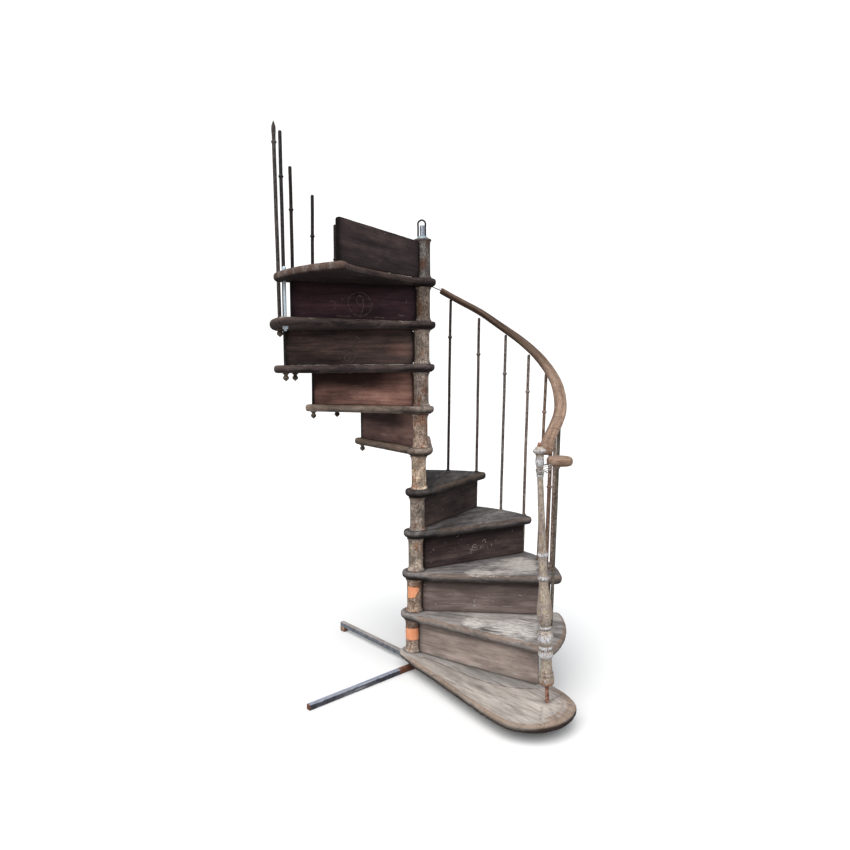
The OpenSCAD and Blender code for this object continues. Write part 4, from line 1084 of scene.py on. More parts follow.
def tape_mat():
    g = G("orange_tape")
    a = g.noise(g.map((0.006, 0.006, 0.03), 0), 4, 0.6, 0.4)
    b = g.noise(g.map((0.02, 0.02, 0.02), 0, (3, 0, 0)), 4, 0.6)
    k = gk("orange_tape", KW)
    col = g.mix(g.rng(a, 0.38, 0.62), srgb(238, 148, 106, k), srgb(218, 128, 90, k))
    col = g.mix(g.rng(b, 0.66, 0.72, 0, 0.5), col, srgb(120, 70, 50, k))
    return g.done(col, 0.45, g.bump(a, 0.0016, 0.6))
TM = tape_mat()
tape("tape_band", 1, 152, 208, 168, 372, lambda f: (0.02 * math.sin(f * 9), 1 - 0.03 * math.sin(f * 7 + 1)), TM)
def arrow_shape(f):
    if f < 0.80:
        return (0.06 + 0.18 * f, 0.97 - 0.08 * f) if f < 0.62 else (0.16 + 1.4 * (f - 0.62), 0.92)
    return (0.40 + 1.6 * (f - 0.8), 0.92 - 0.4 * (f - 0.8))
tape("tape_arrow", 2, 358, 424, 214, 308, arrow_shape, TM)

# ---------------------------------------------------------- rod, washer, eye
def build_top():
    gal = bright("galvanised", (150, 162, 170), (196, 206, 210), seed=1.0, metal=0.35, rough=(0.4, 0.65))
    zinc = bright("threaded_steel", (176, 184, 198), (226, 232, 240), rough=(0.16, 0.35), seed=2.0, metal=0.8)
    top = np.array([68.0, 0, top_z + 18])
    V1, F1 = lathe((2, 0, bar), top, dense([(9, 0), (9, float(np.linalg.norm(top - np.array([2, 0, bar]))))], 60), 24)
    # threaded stud: a real helix cut into the side
    pitch, seg, H = 3.4, 48, 48.0
    rings = []
    zs = np.arange(0, H + 0.01, pitch / 7)
    ph = np.arange(seg) * 2 * math.pi / seg
    for z in zs:
        saw = (z / pitch - ph / (2 * math.pi)) % 1.0
        tri = np.abs(saw * 2 - 1)
        e = min(1.0, (H - z) / 2.5)
        r = (13.5 - 1.25 * tri) * (0.86 + 0.14 * e)
        rings.append(np.c_[68 + r * np.cos(ph), r * np.sin(ph), np.full(seg, top_z + 18 + z)])
    V2, F2 = loft(rings)
    V, F = join([(V1, F1), (V2, F2)])
    obj("long_rod_and_stud", V, F, zinc, ["centre_rod"])
    prof = rounded([(11, 0), (28.8, 0), (29, 2.0), (28.6, 4.2), (27, 8), (22, 12.6), (16, 16.4), (11, 17.8)], 2)
    V, F = lathe((dx(10), 0, top_z), (dx(10), 0, top_z + 18), prof, 64)
    obj("dome_washer", V, F, gal, ["top_washer"])
    # lifting eye: a bent bar, a little lopsided
    ez = top_z + 74
    pts = []
    for z in np.linspace(top_z + 14.5, ez - 2, 9):
        f = (z - top_z - 14.5) / 60
        pts.append((64 - 18.2 + 0.8 * math.sin(f * 3), 0.0, z))
    for a in np.linspace(180, 0, 19):
        k = 1.0 + 0.0
        pts.append((64 + 18.2 * k * math.cos(rad(a)), 0, ez + 18.2 * math.sin(rad(a)) - (0.9 if 100 < a < 170 else 0)))
    for z in np.linspace(ez - 2, top_z + 14.5, 9):
        f = (z - top_z - 14.5) / 60
        pts.append((64 + 18.2 - 0.9 * math.sin(f * 3), 0.0, z))
    V, F = tube(pts, 4.2, 16)
    obj("lifting_eye_bar", V, F, iron("black_iron", (20, 18, 19), (40, 37, 38), (48, 38, 32), rust_amt=0.2, seed=3, spec=0.15), ["lifting_eye"])

def tube(pts, r, seg=12, closed=False, rf=None):
    P = np.array(pts, float)
    n = len(P)
    T = np.gradient(P, axis=0) if not closed else np.roll(P, -1, 0) - np.roll(P, 1, 0)
    T /= np.linalg.norm(T, axis=1)[:, None]
    ref = np.array([0, 0, 1.0]) if abs(T[0][2]) < 0.9 else np.array([0, 1.0, 0])
    x = np.cross(ref, T[0]); x /= np.linalg.norm(x)
    rings = []
    ph = np.arange(seg) * 2 * math.pi / seg
    for k in range(n):
        x = x - T[k] * (x @ T[k])
        x /= np.linalg.norm(x)
        y = np.cross(T[k], x)
        rk = r if rf is None else rf(k / (n - 1)) * r
        rings.append(P[k] + rk * (np.cos(ph)[:, None] * x + np.sin(ph)[:, None] * y))
    return loft(rings, cap=not closed, closed=closed)
build_top()

# --------------------------------------------------------------- balusters
BAL = [(75, 5, 0, 1907, 1688, 655, 22, 6), (60, 4, 1, 1794, 1586, 655, 22, 4), (45, 4, 0, 1690, 1474, 651, 28, 3),
       (30, 3, 1, 1576, 1376, 651, 31, 2), (15, 3, 0, 1472, 1275, 641, 39, 0), (0, 3, 0, 1392, 1180, 655, 24, 0),
       (-22, 2, 0, 1248, 1044, 656, 33, 0), (-32, 2, 0, 1178, 970, 656, 27, 0),
       (195, 9, 0, 2619, 2525, 659, -8, 0), (180, 8, 1, 2637, 2422, 647, -3, 0), (165, 8, 0, 2522, 2307, 655, -4, 0),
       (150, 7, 1, 2422, 2207, 655, 16, 0), (135, 7, 0, 2296, 2106, 645, 6, 0), (120, 6, 1, 2186, 1986, 652, 6, 0)]
def bfoot(b): return np.r_[po(b[0], b[5]), zt(b[1]) - tread_t]
def bhead(b): return np.r_[po(b[0], b[5]) + [b[6], b[7]], b[3]]
def bat(b, z):
    f, h = bfoot(b), bhead(b)
    return f + (h - f) * (z - f[2]) / (h[2] - f[2])
RODC = {75: ((48, 42, 40), (70, 62, 58), (72, 54, 44)), 60: ((52, 45, 42), (76, 66, 60), (78, 58, 46)),
        45: ((78, 64, 56), (108, 92, 82), (96, 70, 54)), 30: ((98, 78, 68), (140, 118, 104), (110, 78, 60)),
        15: ((112, 90, 78), (148, 126, 112), (112, 80, 62)), 0: ((104, 82, 70), (140, 116, 100), (96, 64, 50)),
        -22: ((104, 92, 80), (158, 148, 134), (100, 80, 66)), -32: ((138, 106, 92), (160, 130, 114), (124, 86, 70))}
def build_rods():
    for b in BAL:
        f, h = bfoot(b), bhead(b)
        L = float(np.linalg.norm(h - f))
        k = L * (b[4] - f[2]) / (b[3] - f[2])
        R = 9.0 if b[0] == -32 or b[0] > 100 else 8.0
        prof = [(R, 0)] + [(R, t) for t in np.linspace(12, k - 14, 40)]
        ring = [(R, -10), (R + .5, -8.6), (9.8, -7.4), (10.2, -6), (9.6, -4.8), (10.6, -4), (12.3, -2.8), (13, -1), (13, 1), (12.3, 2.8),
                (10.6, 4), (9.6, 4.8), (10.2, 6), (9.8, 7.4), (R + .5, 8.6), (R, 10)]
        prof += [(r, k + t) for r, t in ring]
        if L - 4 > k + 16:
            prof += [(R, t) for t in np.linspace(k + 16, L - 4, 12)]
        if b[0] == 195:   # flattened, pointed end
            prof = [q for q in prof if q[1] < L - 66] + [(R + .2, L - 62), (R + 1.2, L - 52), (R + 1.4, L - 34), (R + .6, L - 24), (R - 2, L - 15), (R - 5, L - 7), (1.6, L - 0.6)]
        else:
            prof = [q for q in prof if q[1] < L - 9] + [(R, L - 8), (R - 0.9, L - 4.4), (R - 2.8, L - 1.9), (2.0, L - 0.6)]
        V, F = lathe(f, h, prof, 18, lambda r, ph, t, b=b: r - 0.25 + 0.25 * np.sin(ph * 3 + t * 0.02 + b[0]), bend=0.9, seed=b[0] * 0.1)
        rim_a = np.repeat([1.0 if abs(t - k) < 9 else 0.0 for r, t in prof], 18) * 0.5
        cols = RODC.get(b[0], ((44, 38, 36), (66, 57, 53), (66, 50, 42)))
        mat = iron("rod_iron_%d" % (b[0] % 360), *cols, seed=b[0] * 0.37, rust_amt=0.45, size=0.5 if b[0] in (-22, -32) else 1.0)
        node = "balusters_lower" if b[0] < 90 else "balusters_upper"
        obj("baluster_%03d" % (b[0] % 360), V, F, mat, [node], dict(rim=rim_a))
        # small ring where the rod goes into the tread
        if b[0] in (45, 30, 75, 60, 15, 0, -22, -32):
            lev = b[1] + b[2]
            c = bat(b, zt(lev))
            pr = rounded([(8.3, -1), (13.5, -1), (13.6, 1.4), (12.6, 3.2), (9.4, 4.4), (8.3, 4.6)], 2)
            V, F = lathe(c, c + [0, 0, 1], pr, 28)
            c2 = cols if b[0] not in (45, 30, -22) else ((150, 136, 122), (190, 178, 164), (130, 100, 80))
            obj("base_ring_%03d" % (b[0] % 360), V, F, iron("ring_iron_%d" % (b[0] % 360), *c2, seed=b[0]))
    fin = [(13.6, 0), (15, -.6), (15.5, -2.2), (15.2, -4), (13, -5.6), (10.4, -6.8), (9.2, -8.6), (9.2, -11), (9.8, -13), (11.6, -15.2),
           (13.4, -18), (14.4, -21), (14.6, -24.4), (13.9, -27.6), (12, -30.6), (9.2, -33), (6.4, -34.8), (4.6, -36.4), (3.6, -38.2), (1.8, -39.6), (.3, -40)]
    parts = []
    for b in BAL:
        if b[0] > 90 or b[2] == 0:
            f = bfoot(b)
            parts.append(lathe(f, f - [0, 0, 1], [(r, -t) for r, t in fin], 36))
    V, F = join(parts)
    obj("turned_drops", V, F, wood("drop_wood", 0, (48, 36, 32), (68, 52, 45), (92, 74, 64), (120, 104, 94), (86, 60, 48), seed=41.0),
        ["baluster_finials"], dict(edge=np.full(len(V), 0.4)))
build_rods()

def build_tie():
    p = po(209, 664)
    td = drop10(*p)
    steel = bright("tie_steel", (204, 218, 228), (236, 242, 246), k=1.0, rough=(0.3, 0.5), seed=5.0, metal=0.35)
    zb = zt(9) - tread_t - 22
    zh = zb + rise + tread_t + 44 - td
    parts = []
    seg, ph = 32, np.arange(32) * 2 * math.pi / 32
    for lo, hi in ((zb, zb + 24), (zh - 22, zh)):
        rings = []
        for z in np.arange(lo, hi, 0.45):
            saw = np.abs(((z / 1.75 - ph / (2 * math.pi)) % 1.0) * 2 - 1)
            r = 6.5 - 0.7 * saw
            rings.append(np.c_[p[0] + r * np.cos(ph), p[1] + r * np.sin(ph), np.full(seg, z)])
        parts.append(loft(rings))
    parts.append(lathe((p[0], p[1], zb + 23), (p[0], p[1], zh - 21), [(6.4, 0), (6.5, 1), (6.5, zh - zb - 45), (6.4, zh - zb - 44)], 32))
    t0 = zt(10) - td
    parts.append(lathe((p[0], p[1], t0), (p[0], p[1], t0 + 30), rounded([(7, 0), (13.4, 0), (13.4, 2.2), (12.0, 2.8), (7, 2.8)], 2), 36))
    def hexr(r, ph2, t):
        a = (ph2 + math.pi / 6) % (math.pi / 3) - math.pi / 6
        return r * (0.88 / np.cos(a) * 1.0) / 0.95
    parts.append(lathe((p[0], p[1], t0 + 2.8), (p[0], p[1], t0 + 30), [(9.2, 0), (10.6, .8), (10.6, 9.4), (9.6, 10.4)], 48, hexr))
    parts.append(lathe((p[0], p[1], t0 + 13), (p[0], p[1], t0 + 30), [(9.4, 0), (9.4, 2), (9.0, 5.5), (7.6, 9), (5.0, 11.8), (2.2, 13), (.3, 13.3)], 36))
    n0 = zt(9) - tread_t
    parts.append(lathe((p[0], p[1], n0 - 3), (p[0], p[1], n0), [(13.0, 0), (13.6, .6), (13.6, 2.4), (13.2, 3)], 36))
    parts.append(lathe((p[0], p[1], n0 - 14), (p[0], p[1], n0), [(10.5, 0), (11.9, .8), (11.9, 10), (11, 11)], 48, hexr))
    V, F = join(parts)
    obj("tie_bolt_and_nuts", V, F, steel, ["tie_bolt"])
build_tie()

# ---------------------------------------------------------------- handrail
CP = [(180, 652, 1957), (234, 640, 1925), (286, 622, 1894), (397, 567, 1826), (501, 488, 1743), (598, 376, 1656),
      (664, 260, 1576), (700, 145, 1505), (718, 30, 1438), (720, -50, 1387), (712, -130, 1336), (692, -215, 1288),
      (659, -295, 1243), (625, -360, 1204), (598, -420, 1174), (583, -466, 1156), (577, -498, 1147)]
def catmull(P, m):
    P = [np.array(p, float) for p in P]
    out = []
    for i in range(len(P) - 1):
        a, b, c, d = P[max(i - 1, 0)], P[i], P[i + 1], P[min(i + 2, len(P) - 1)]
        for j in range(m):
            t = j / m
            out.append(0.5 * ((2 * b) + (c - a) * t + (2 * a - 5 * b + 4 * c - d) * t * t + (3 * b - a - 3 * c + d) * t ** 3))
    out.append(P[-1])
    return np.array(out)

def rail_wood(name, seed=0.0):
    """grain that follows the rail, from three attributes: along, across and upward"""
    g = G(name)
    along, across, up = g.attr("along"), g.attr("across"), g.attr("upward")
    cv = g.n("ShaderNodeCombineXYZ")
    g.put(cv.inputs[0], along); g.put(cv.inputs[1], across); g.put(cv.inputs[2], up)
    def mp(size, loc=(0, 0, 0)):
        x = g.n("ShaderNodeMapping", vector_type="TEXTURE")
        g.put(x.inputs["Vector"], cv.outputs[0])
        x.inputs["Scale"].default_value = size
        x.inputs["Location"].default_value = loc
        return x.outputs[0]
    broad = g.noise(mp((0.30, 0.018, 0.018)), 4, 0.55, 0.3)
    fine = g.noise(mp((0.06, 0.0022, 0.0022)), 4, 0.6)
    mott = g.noise(g.map((0.02, 0.02, 0.02)), 5, 0.65)
    k = gk(name, KW)
    tone = g.attr("tone")
    dk = g.ramp(broad, [(0.35, srgb(76, 60, 50, k)), (0.5, srgb(98, 79, 67, k)), (0.66, srgb(118, 97, 83, k))])
    lt = g.ramp(broad, [(0.35, srgb(148, 122, 105, k)), (0.5, srgb(174, 147, 129, k)), (0.66, srgb(193, 168, 149, k))])
    col = g.mix(tone, dk, lt)
    col = g.mix(1.0, col, g.gray(g.rng(fine, 0.3, 0.7, 0.74, 1.2)), "MULTIPLY")
    col = g.mix(1.0, col, g.gray(g.rng(mott, 0.33, 0.67, 0.84, 1.15)), "MULTIPLY")
    crack = g.rng(g.noise(mp((0.10, 0.006, 0.006), (4, 0, 0)), 2, 0.4), 0.27, 0.33, 1.0, 0.0)
    cross = g.math("MULTIPLY", g.rng(g.noise(mp((0.005, 0.030, 0.030), (9, 0, 0)), 2, 0.5, 0.3), 0.30, 0.35, 1.0, 0.0),
                   g.rng(g.noise(mp((0.09, 0.09, 0.09), (14, 0, 0)), 2, 0.5), 0.60, 0.66))
    crack = g.math("MAXIMUM", crack, cross)
    col = g.mix(g.math("MULTIPLY", crack, 0.6), col, srgb(40, 28, 22, k))
    pits = g.math("MULTIPLY", g.rng(g.cells(g.map((0.012, 0.012, 0.012))), 0.07, 0.14, 1.0, 0.0), 0.7)
    col = g.mix(pits, col, srgb(52, 38, 30, k))
    # darker at the scarf joints, and painted shade along the end block's bottom edge
    col = g.mix(g.math("MULTIPLY", g.attr("dark"), 0.9), col, srgb(38, 27, 22, k))
    h = g.math("ADD", g.math("MULTIPLY", fine, 0.5), g.math("MULTIPLY", broad, 0.4))
    nb = g.bump(g.math("SUBTRACT", h, g.math("MULTIPLY", crack, 0.5)), 0.0012, 0.7)
    return g.done(col, g.rng(fine, 0.3, 0.7, 0.5, 0.75), nb, spec=0.2)

def extra_attrs(ob, **kw):
    for k, v in kw.items():
        a = ob.data.attributes.new(k, "FLOAT", "POINT")
        a.data.foreach_set("value", np.asarray(v, np.float32))

RAILM = rail_wood("rail_wood_worn")
def build_rail():
    W, H = 60.0, 35.0
    P0 = catmull(CP, 12)
    d = np.r_[0, np.cumsum(np.linalg.norm(np.diff(P0, axis=0), axis=1))]
    total = d[-1]
    seams = []
    for z in (1395, 1262, 1216, 1181):   # where the rail's pieces were scarfed together
        seams.append(float(np.interp(-z, -P0[:, 2], d)))
    s = list(np.arange(4, total - 4, 9.0))
    for q in seams:
        s = [v for v in s if abs(v - q) > 8] + [q - 6, q - 3.4, q - 1.8, q, q + 1.8, q + 3.4, q + 6]
    s = np.array(sorted([0.0, 0.8, 2.2] + s + [total - 2.2, total - 0.8, total]))
    P = np.c_[[np.interp(s, d, P0[:, k]) for k in range(3)]].T
    T = np.gradient(P0, axis=0)
    T = np.c_[[np.interp(s, d, T[:, k]) for k in range(3)]].T
    T /= np.linalg.norm(T, axis=1)[:, None]
    sec = []
    # moulded section: flat underside, hollow below a full round top
    key = [(-0.20, -0.5), (0.20, -0.5), (0.30, -0.49), (0.365, -0.42), (0.385, -0.31), (0.40, -0.20), (0.455, -0.11), (0.492, 0.0),
           (0.5, 0.10), (0.485, 0.21), (0.44, 0.31), (0.36, 0.40), (0.24, 0.465), (0.10, 0.496), (0, 0.5)]
    key = key[1:]
    half = [(x, y) for x, y in key]
    sec = half + [(-x, y) for x, y in reversed(half[:-1])]
    sec = np.array(sec)
    rings, al, ac, up, dk, tn = [], [], [], [], [], []
    for k in range(len(s)):
        t = T[k]
        side = np.cross(t, [0, 0, 1]); side /= np.linalg.norm(side)
        upv = np.cross(side, t)
        f = 1.0
        if s[k] < 2 or total - s[k] < 2:
            f = 0.965 if s[k] in (0.0, total) else 0.99
        for q in seams:
            if abs(s[k] - q) < 0.1: f = 0.94
            elif abs(s[k] - q) < 2: f = 0.975
        q3 = P[k] + np.outer(sec[:, 0] * W * f, side) + np.outer(sec[:, 1] * H * f, upv)
        nz = fbm(q3, 1 / 45.0, 3, 77) * 0.6 - 0.7
        q3 = P[k] + (q3 - P[k]) * (1 + nz[:, None] / 24.0)
        rings.append(q3)
        al.append(np.full(len(sec), s[k])); ac.append(sec[:, 0] * W); up.append(sec[:, 1] * H)
        dk.append(np.full(len(sec), 1.0 if f == 0.94 else 0.8 if f == 0.975 else 0.0) * (0.55 + 0.45 * np.sin(np.arange(len(sec)) * 0.55 + s[k]) * (f < 0.98)))
        tn.append(np.full(len(sec), smooth01((s[k] / total - 0.30) / 0.50)))
    V, F = loft(rings)
    # a spread of small dents, always inward
    ob = obj("handrail_moulded", V, F, RAILM, ["handrail"], dict(dark=np.concatenate(dk)), sharp=60)
    tone = np.concatenate(tn)
    extra_attrs(ob, along=np.concatenate(al) * MM, across=np.concatenate(ac) * MM, upward=np.concatenate(up) * MM, tone=tone)
    # iron strip let into the underside, and its bare end
    core = iron("strip_iron", (46, 40, 38), (74, 66, 62), (84, 60, 46), seed=8)
    pts, sid = [], []
    for k in range(0, len(s), 2):
        t = T[k]
        side = np.cross(t, [0, 0, 1]); side /= np.linalg.norm(side)
        upv = np.cross(side, t)
        pts.append(P[k] - upv * (H * 0.5 - 1.0)); sid.append((side, upv))
    rings = []
    for p, (sd, uv) in zip(pts[1:-1], sid[1:-1]):
        rings.append(np.array([p + sd * a * 9 + uv * b * 2.0 for a, b in ((-1, -1), (-.9, -1.2), (.9, -1.2), (1, -1), (1, 1), (-1, 1))]))
    V1, F1 = loft(rings)
    a, b = np.array([113.0, 668, 1990]), np.array([186.0, 650.5, 1955])
    w = b - a
    side = np.cross(w, [0, 0, 1]); side /= np.linalg.norm(side)
    upv = np.cross(side, w / np.linalg.norm(w))
    rings = []
    for t in np.linspace(0, 1, 14):
        p = a + w * t + upv * (-1.2 * math.sin(t * math.pi))
        hw = 9 if t > 0.03 else 6.5
        rings.append(np.array([p + side * x * hw + upv * y * 2.5 for x, y in ((-1, -.8), (-.9, -1), (.9, -1), (1, -.8), (1, .8), (.9, 1), (-.9, 1), (-1, .8))]))
    V2, F2 = loft(rings)
    V, F = join([(V1, F1), (V2, F2)])
    obj("rail_iron_strip", V, F, core, ["handrail_core"])
    # a bent nail left in the cut end
    o = P[0] + np.array([4, -1, 12.0])
    V, F = tube([o + np.array([0, 0, 0]), o + [-7, 1.4, 3], o + [-14, 3, 4.4], o + [-17, 3.6, 4.2]], 1.1, 8)
    V2, F2 = lathe(o + [-17, 3.6, 4.2], o + [-18.2, 3.85, 4.25], [(0.4, 0), (2.6, .1), (2.6, 1.0), (0.4, 1.2)], 12)
    V, F = join([(V, F), (V2, F2)])
    obj("old_nail", V, F, iron("nail_iron", (60, 46, 40), (90, 74, 64), (110, 74, 52), seed=9))
    # rounded block at the lower end
    prof = rounded([(0.4, 0), (38, 0), (47, 2.4), (52.4, 8), (54.6, 16), (54.9, 24), (53, 32), (48, 37.2), (38, 39.7), (0.4, 39.9)], 2)
    def sq(r, ph, t):
        return r * (1 - 0.012 * np.cos(4 * ph) - 0.008 - 0.01 * np.sin(ph * 3 + 1))
    V, F = lathe((621, -556, 1092), (621, -556, 1132), dense(prof, 5), 72, sq)
    nz = fbm(V, 1 / 30.0, 3, 12) * 0.8 - 0.6
    c = np.array([621, -556, 1112.0])
    V = c + (V - c) * (1 + nz[:, None] / 55.0)
    t = V[:, 2] - 1092
    # painted shade along the block's bottom edge
    ob = obj("rail_end_block", V, F, RAILM, ["handrail_scroll"], dict(dark=0.5 * np.exp(-t / 3.0)), sharp=60)
    extra_attrs(ob, along=V[:, 0] * MM, across=V[:, 1] * MM, upward=V[:, 2] * MM, tone=np.full(len(V), 0.95))
build_rail()

# ------------------------------------------------------------------- newel
NA, NB = np.array([575.0, -560, z1]), np.array([535.0, -560, z1 + 1104])
PROF = [(0.5, 0), (25, 0), (31, 6), (32, 18), (31.5, 36), (29, 38), (30, 42), (30, 52), (27, 56), (26, 64), (24, 92), (24.5, 112),
        (28, 118), (32, 126), (32, 138), (29, 146), (25.5, 150), (28.5, 156), (28.5, 164), (24, 170), (27, 176), (32, 188), (34, 203),
        (32, 218), (26, 231), (20, 238), (25, 242), (25, 250), (20, 254), (24, 264), (30, 284), (33.5, 308), (31, 340), (25, 380),
        (20, 421), (19.5, 436), (20, 448), (24.6, 452), (24.6, 464), (19, 469), (18, 490), (18, 546), (22, 551), (22, 563), (17, 567),
        (16.5, 590), (14.5, 700), (13.2, 820), (12.6, 880), (16, 884), (16, 890), (13.5, 894), (16.5, 899), (16.5, 908), (13.5, 912),
        (14.5, 922), (19, 938), (19, 952), (15.5, 968), (17, 978), (25, 984), (28, 989), (28, 994), (19, 1000), (14, 1008), (7.4, 1008)]
def build_newel():
    s = 78.0
    o, X, Y, W, L = axis_frame(NA, NB)
    prof = rounded(PROF, 2)
    prof = dense(prof, 7)
    def fac(r, ph, t):
        # flats cut round the small vase near the top
        k = smooth01((t - 912 + 4) / 10.0) * smooth01((976 - t) / 10.0)
        a = (ph % (math.pi / 4)) - math.pi / 8
        return r * (1 - k * 0.07 + k * 0.07 * (0.924 / np.cos(a) - 0.924) / 0.076 * 1.0)
    a = o + W * s
    V, F = lathe(a, a + W * 1008, prof, 56, fac)
    seg = 56
    t = np.repeat([p[1] for p in prof], seg)
    r0 = np.repeat([p[0] for p in prof], seg)
    ctr = a + np.outer(t, W)
    nz = fbm(V, 1 / 16.0, 3, 33) * 0.45 - 0.35
    V = ctr + (V - ctr) * (1 + nz / np.maximum(r0, 6))[:, None]
    # painted highlight on the beads (rim) and painted shade in the grooves between them (dark)
    rim_a = np.zeros(len(V))
    for z, w in ((457, 9), (557, 9), (887, 6), (903, 7), (990, 8), (245, 8), (203, 18), (160, 8), (132, 12), (945, 18)):
        rim_a = np.maximum(rim_a, np.exp(-((t - z) / w) ** 2))
    dark = np.zeros(len(V))
    for z, w in ((149, 3.2), (171, 3.2), (238, 4.5), (255, 3.6), (38, 2.6), (55.5, 3), (449, 2.6), (468, 3), (566, 3), (894, 2.4), (912, 2.6), (976, 3)):
        dark = np.maximum(dark, 0.75 * np.exp(-((t - z) / w) ** 2))
    g = G("newel_paint_worn")
    k = gk("newel_paint_worn", KW)
    big = g.noise(g.map((0.05, 0.05, 0.12)), 5, 0.62, 0.4)
    med = g.noise(g.map((0.010, 0.010, 0.022), 0, (1, 0, 0)), 6, 0.72, 0.5)
    tiny = g.noise(g.map((0.0026, 0.0026, 0.0034), 0, (2, 0, 0)), 5, 0.72)
    fib = g.noise(g.map((0.0018, 0.0018, 0.05), 0, (5, 0, 0)), 4, 0.6)
    body = g.mix(g.rng(med, 0.40, 0.62), srgb(204, 188, 162, k), srgb(160, 138, 114, k))
    body = g.mix(g.rng(big, 0.50, 0.64, 0.0, 0.75), body, srgb(156, 132, 118, k))
    body = g.mix(1.0, body, g.gray(g.rng(fib, 0.3, 0.7, 0.70, 1.2)), "MULTIPLY")
    spk = g.noise(g.map((0.0080, 0.0080, 0.013), 0, (21, 0, 0)), 4, 0.7)
    body = g.mix(1.0, body, g.gray(g.rng(spk, 0.34, 0.66, 0.76, 1.18)), "MULTIPLY")
    body = g.mix(g.rng(g.noise(g.map((0.03, 0.03, 0.09), 0, (31, 0, 0)), 3, 0.6), 0.52, 0.62, 0.0, 0.55), body, srgb(124, 98, 90, k))
    # flecks of white paint, plus painted highlight on the beads
    white = g.math("ADD", g.rng(g.math("ADD", g.math("MULTIPLY", med, 0.5), g.math("MULTIPLY", tiny, 0.5)), 0.50, 0.60, 0.0, 0.75),
                   g.math("MULTIPLY", g.attr("rim"), 0.9))
    white = g.math("MULTIPLY", white, g.rng(g.math("ADD", g.math("MULTIPLY", tiny, 0.5), g.math("MULTIPLY", spk, 0.5)), 0.42, 0.54))
    col = g.mix(g.math("MINIMUM", white, 1.0), body, srgb(236, 238, 238, k))
    pit = g.math("MULTIPLY", g.rng(g.cells(g.map((0.0056, 0.0056, 0.0085))), 0.14, 0.27, 1.0, 0.0),
                 g.rng(g.noise(g.map((0.022, 0.022, 0.04), 0, (7, 0, 0)), 4, 0.65), 0.44, 0.56))
    flake = g.rng(g.math("ADD", g.math("MULTIPLY", med, 0.6), g.math("MULTIPLY", spk, 0.4)), 0.385, 0.43, 1.0, 0.0)
    dm = g.math("MAXIMUM", g.math("MULTIPLY", pit, 0.65), g.math("MULTIPLY", flake, 0.75))
    # pits and flakes, and painted shade in the grooves
    dm = g.math("MAXIMUM", dm, g.math("MULTIPLY", g.attr("dark"), g.rng(tiny, 0.3, 0.6, 1.0, 0.55)))
    col = g.mix(dm, col, srgb(88, 70, 58, k))
    col = g.mix(g.math("MULTIPLY", g.attr("edge"), g.rng(med, 0.35, 0.6, 0.95, 0.45)), col, srgb(150, 96, 58, k))
    h = g.math("ADD", g.math("MULTIPLY", g.math("MINIMUM", white, 1.0), 0.5), g.math("MULTIPLY", tiny, 0.3))
    h = g.math("SUBTRACT", h, g.math("MULTIPLY", dm, 0.6))
    mat = g.done(col, g.rng(med, 0.35, 0.65, 0.55, 0.85), g.bump(h, 0.0016, 0.85), spec=0.16)
    # bare rusty foot of the block
    foot = np.exp(-np.maximum(t - 9, 0) / 9.0)
    obj("newel_turned", V, F, mat, ["newel_post"], dict(rim=rim_a, dark=dark, edge=foot), sharp=48)
    rust = iron("rusty_pin", (128, 74, 46), (168, 104, 66), (104, 52, 32), rust_amt=0.6, rough=(0.7, 0.95), seed=4)
    La = float(np.linalg.norm(NB - NA)) + 20
    p0 = NA - [-0.8, 0, 22]
    pr = [(5.6, 0), (6.6, 1), (6.6, 21.5), (7.7, 22.6)] + [(7.7, v) for v in np.linspace(30, 95, 14)] + [(6.5, v) for v in np.linspace(120, La - 18, 12)]
    seg = 24
    V1, F1 = lathe(p0, p0 + (NB - NA), pr + [(6.5, La - 17), (6.4, La - 3), (4.8, La)], seg)
    ph = np.arange(28) * 2 * math.pi / 28
    d = (NB - NA) / np.linalg.norm(NB - NA)
    # hex nut and rounded pin end on top of the cap
    nut0 = NB - d * 20
    def hx(r, p2, t2):
        a = (p2 + math.pi / 6) % (math.pi / 3) - math.pi / 6
        return r / np.cos(a) * 0.93
    V2, F2 = lathe(nut0 - d * 0.5, nut0 + d * 12, [(7.5, 0), (8.8, .8), (8.8, 7.6), (7.6, 8.6)], 36, hx)
    V1 = V1 + 0
    V, F = join([(V1, F1), (V2, F2)])
    nz = fbm(V, 1 / 7.0, 2, 3) * 0.25
    obj("newel_pin", V, F, rust, ["newel_rod"])
build_newel()

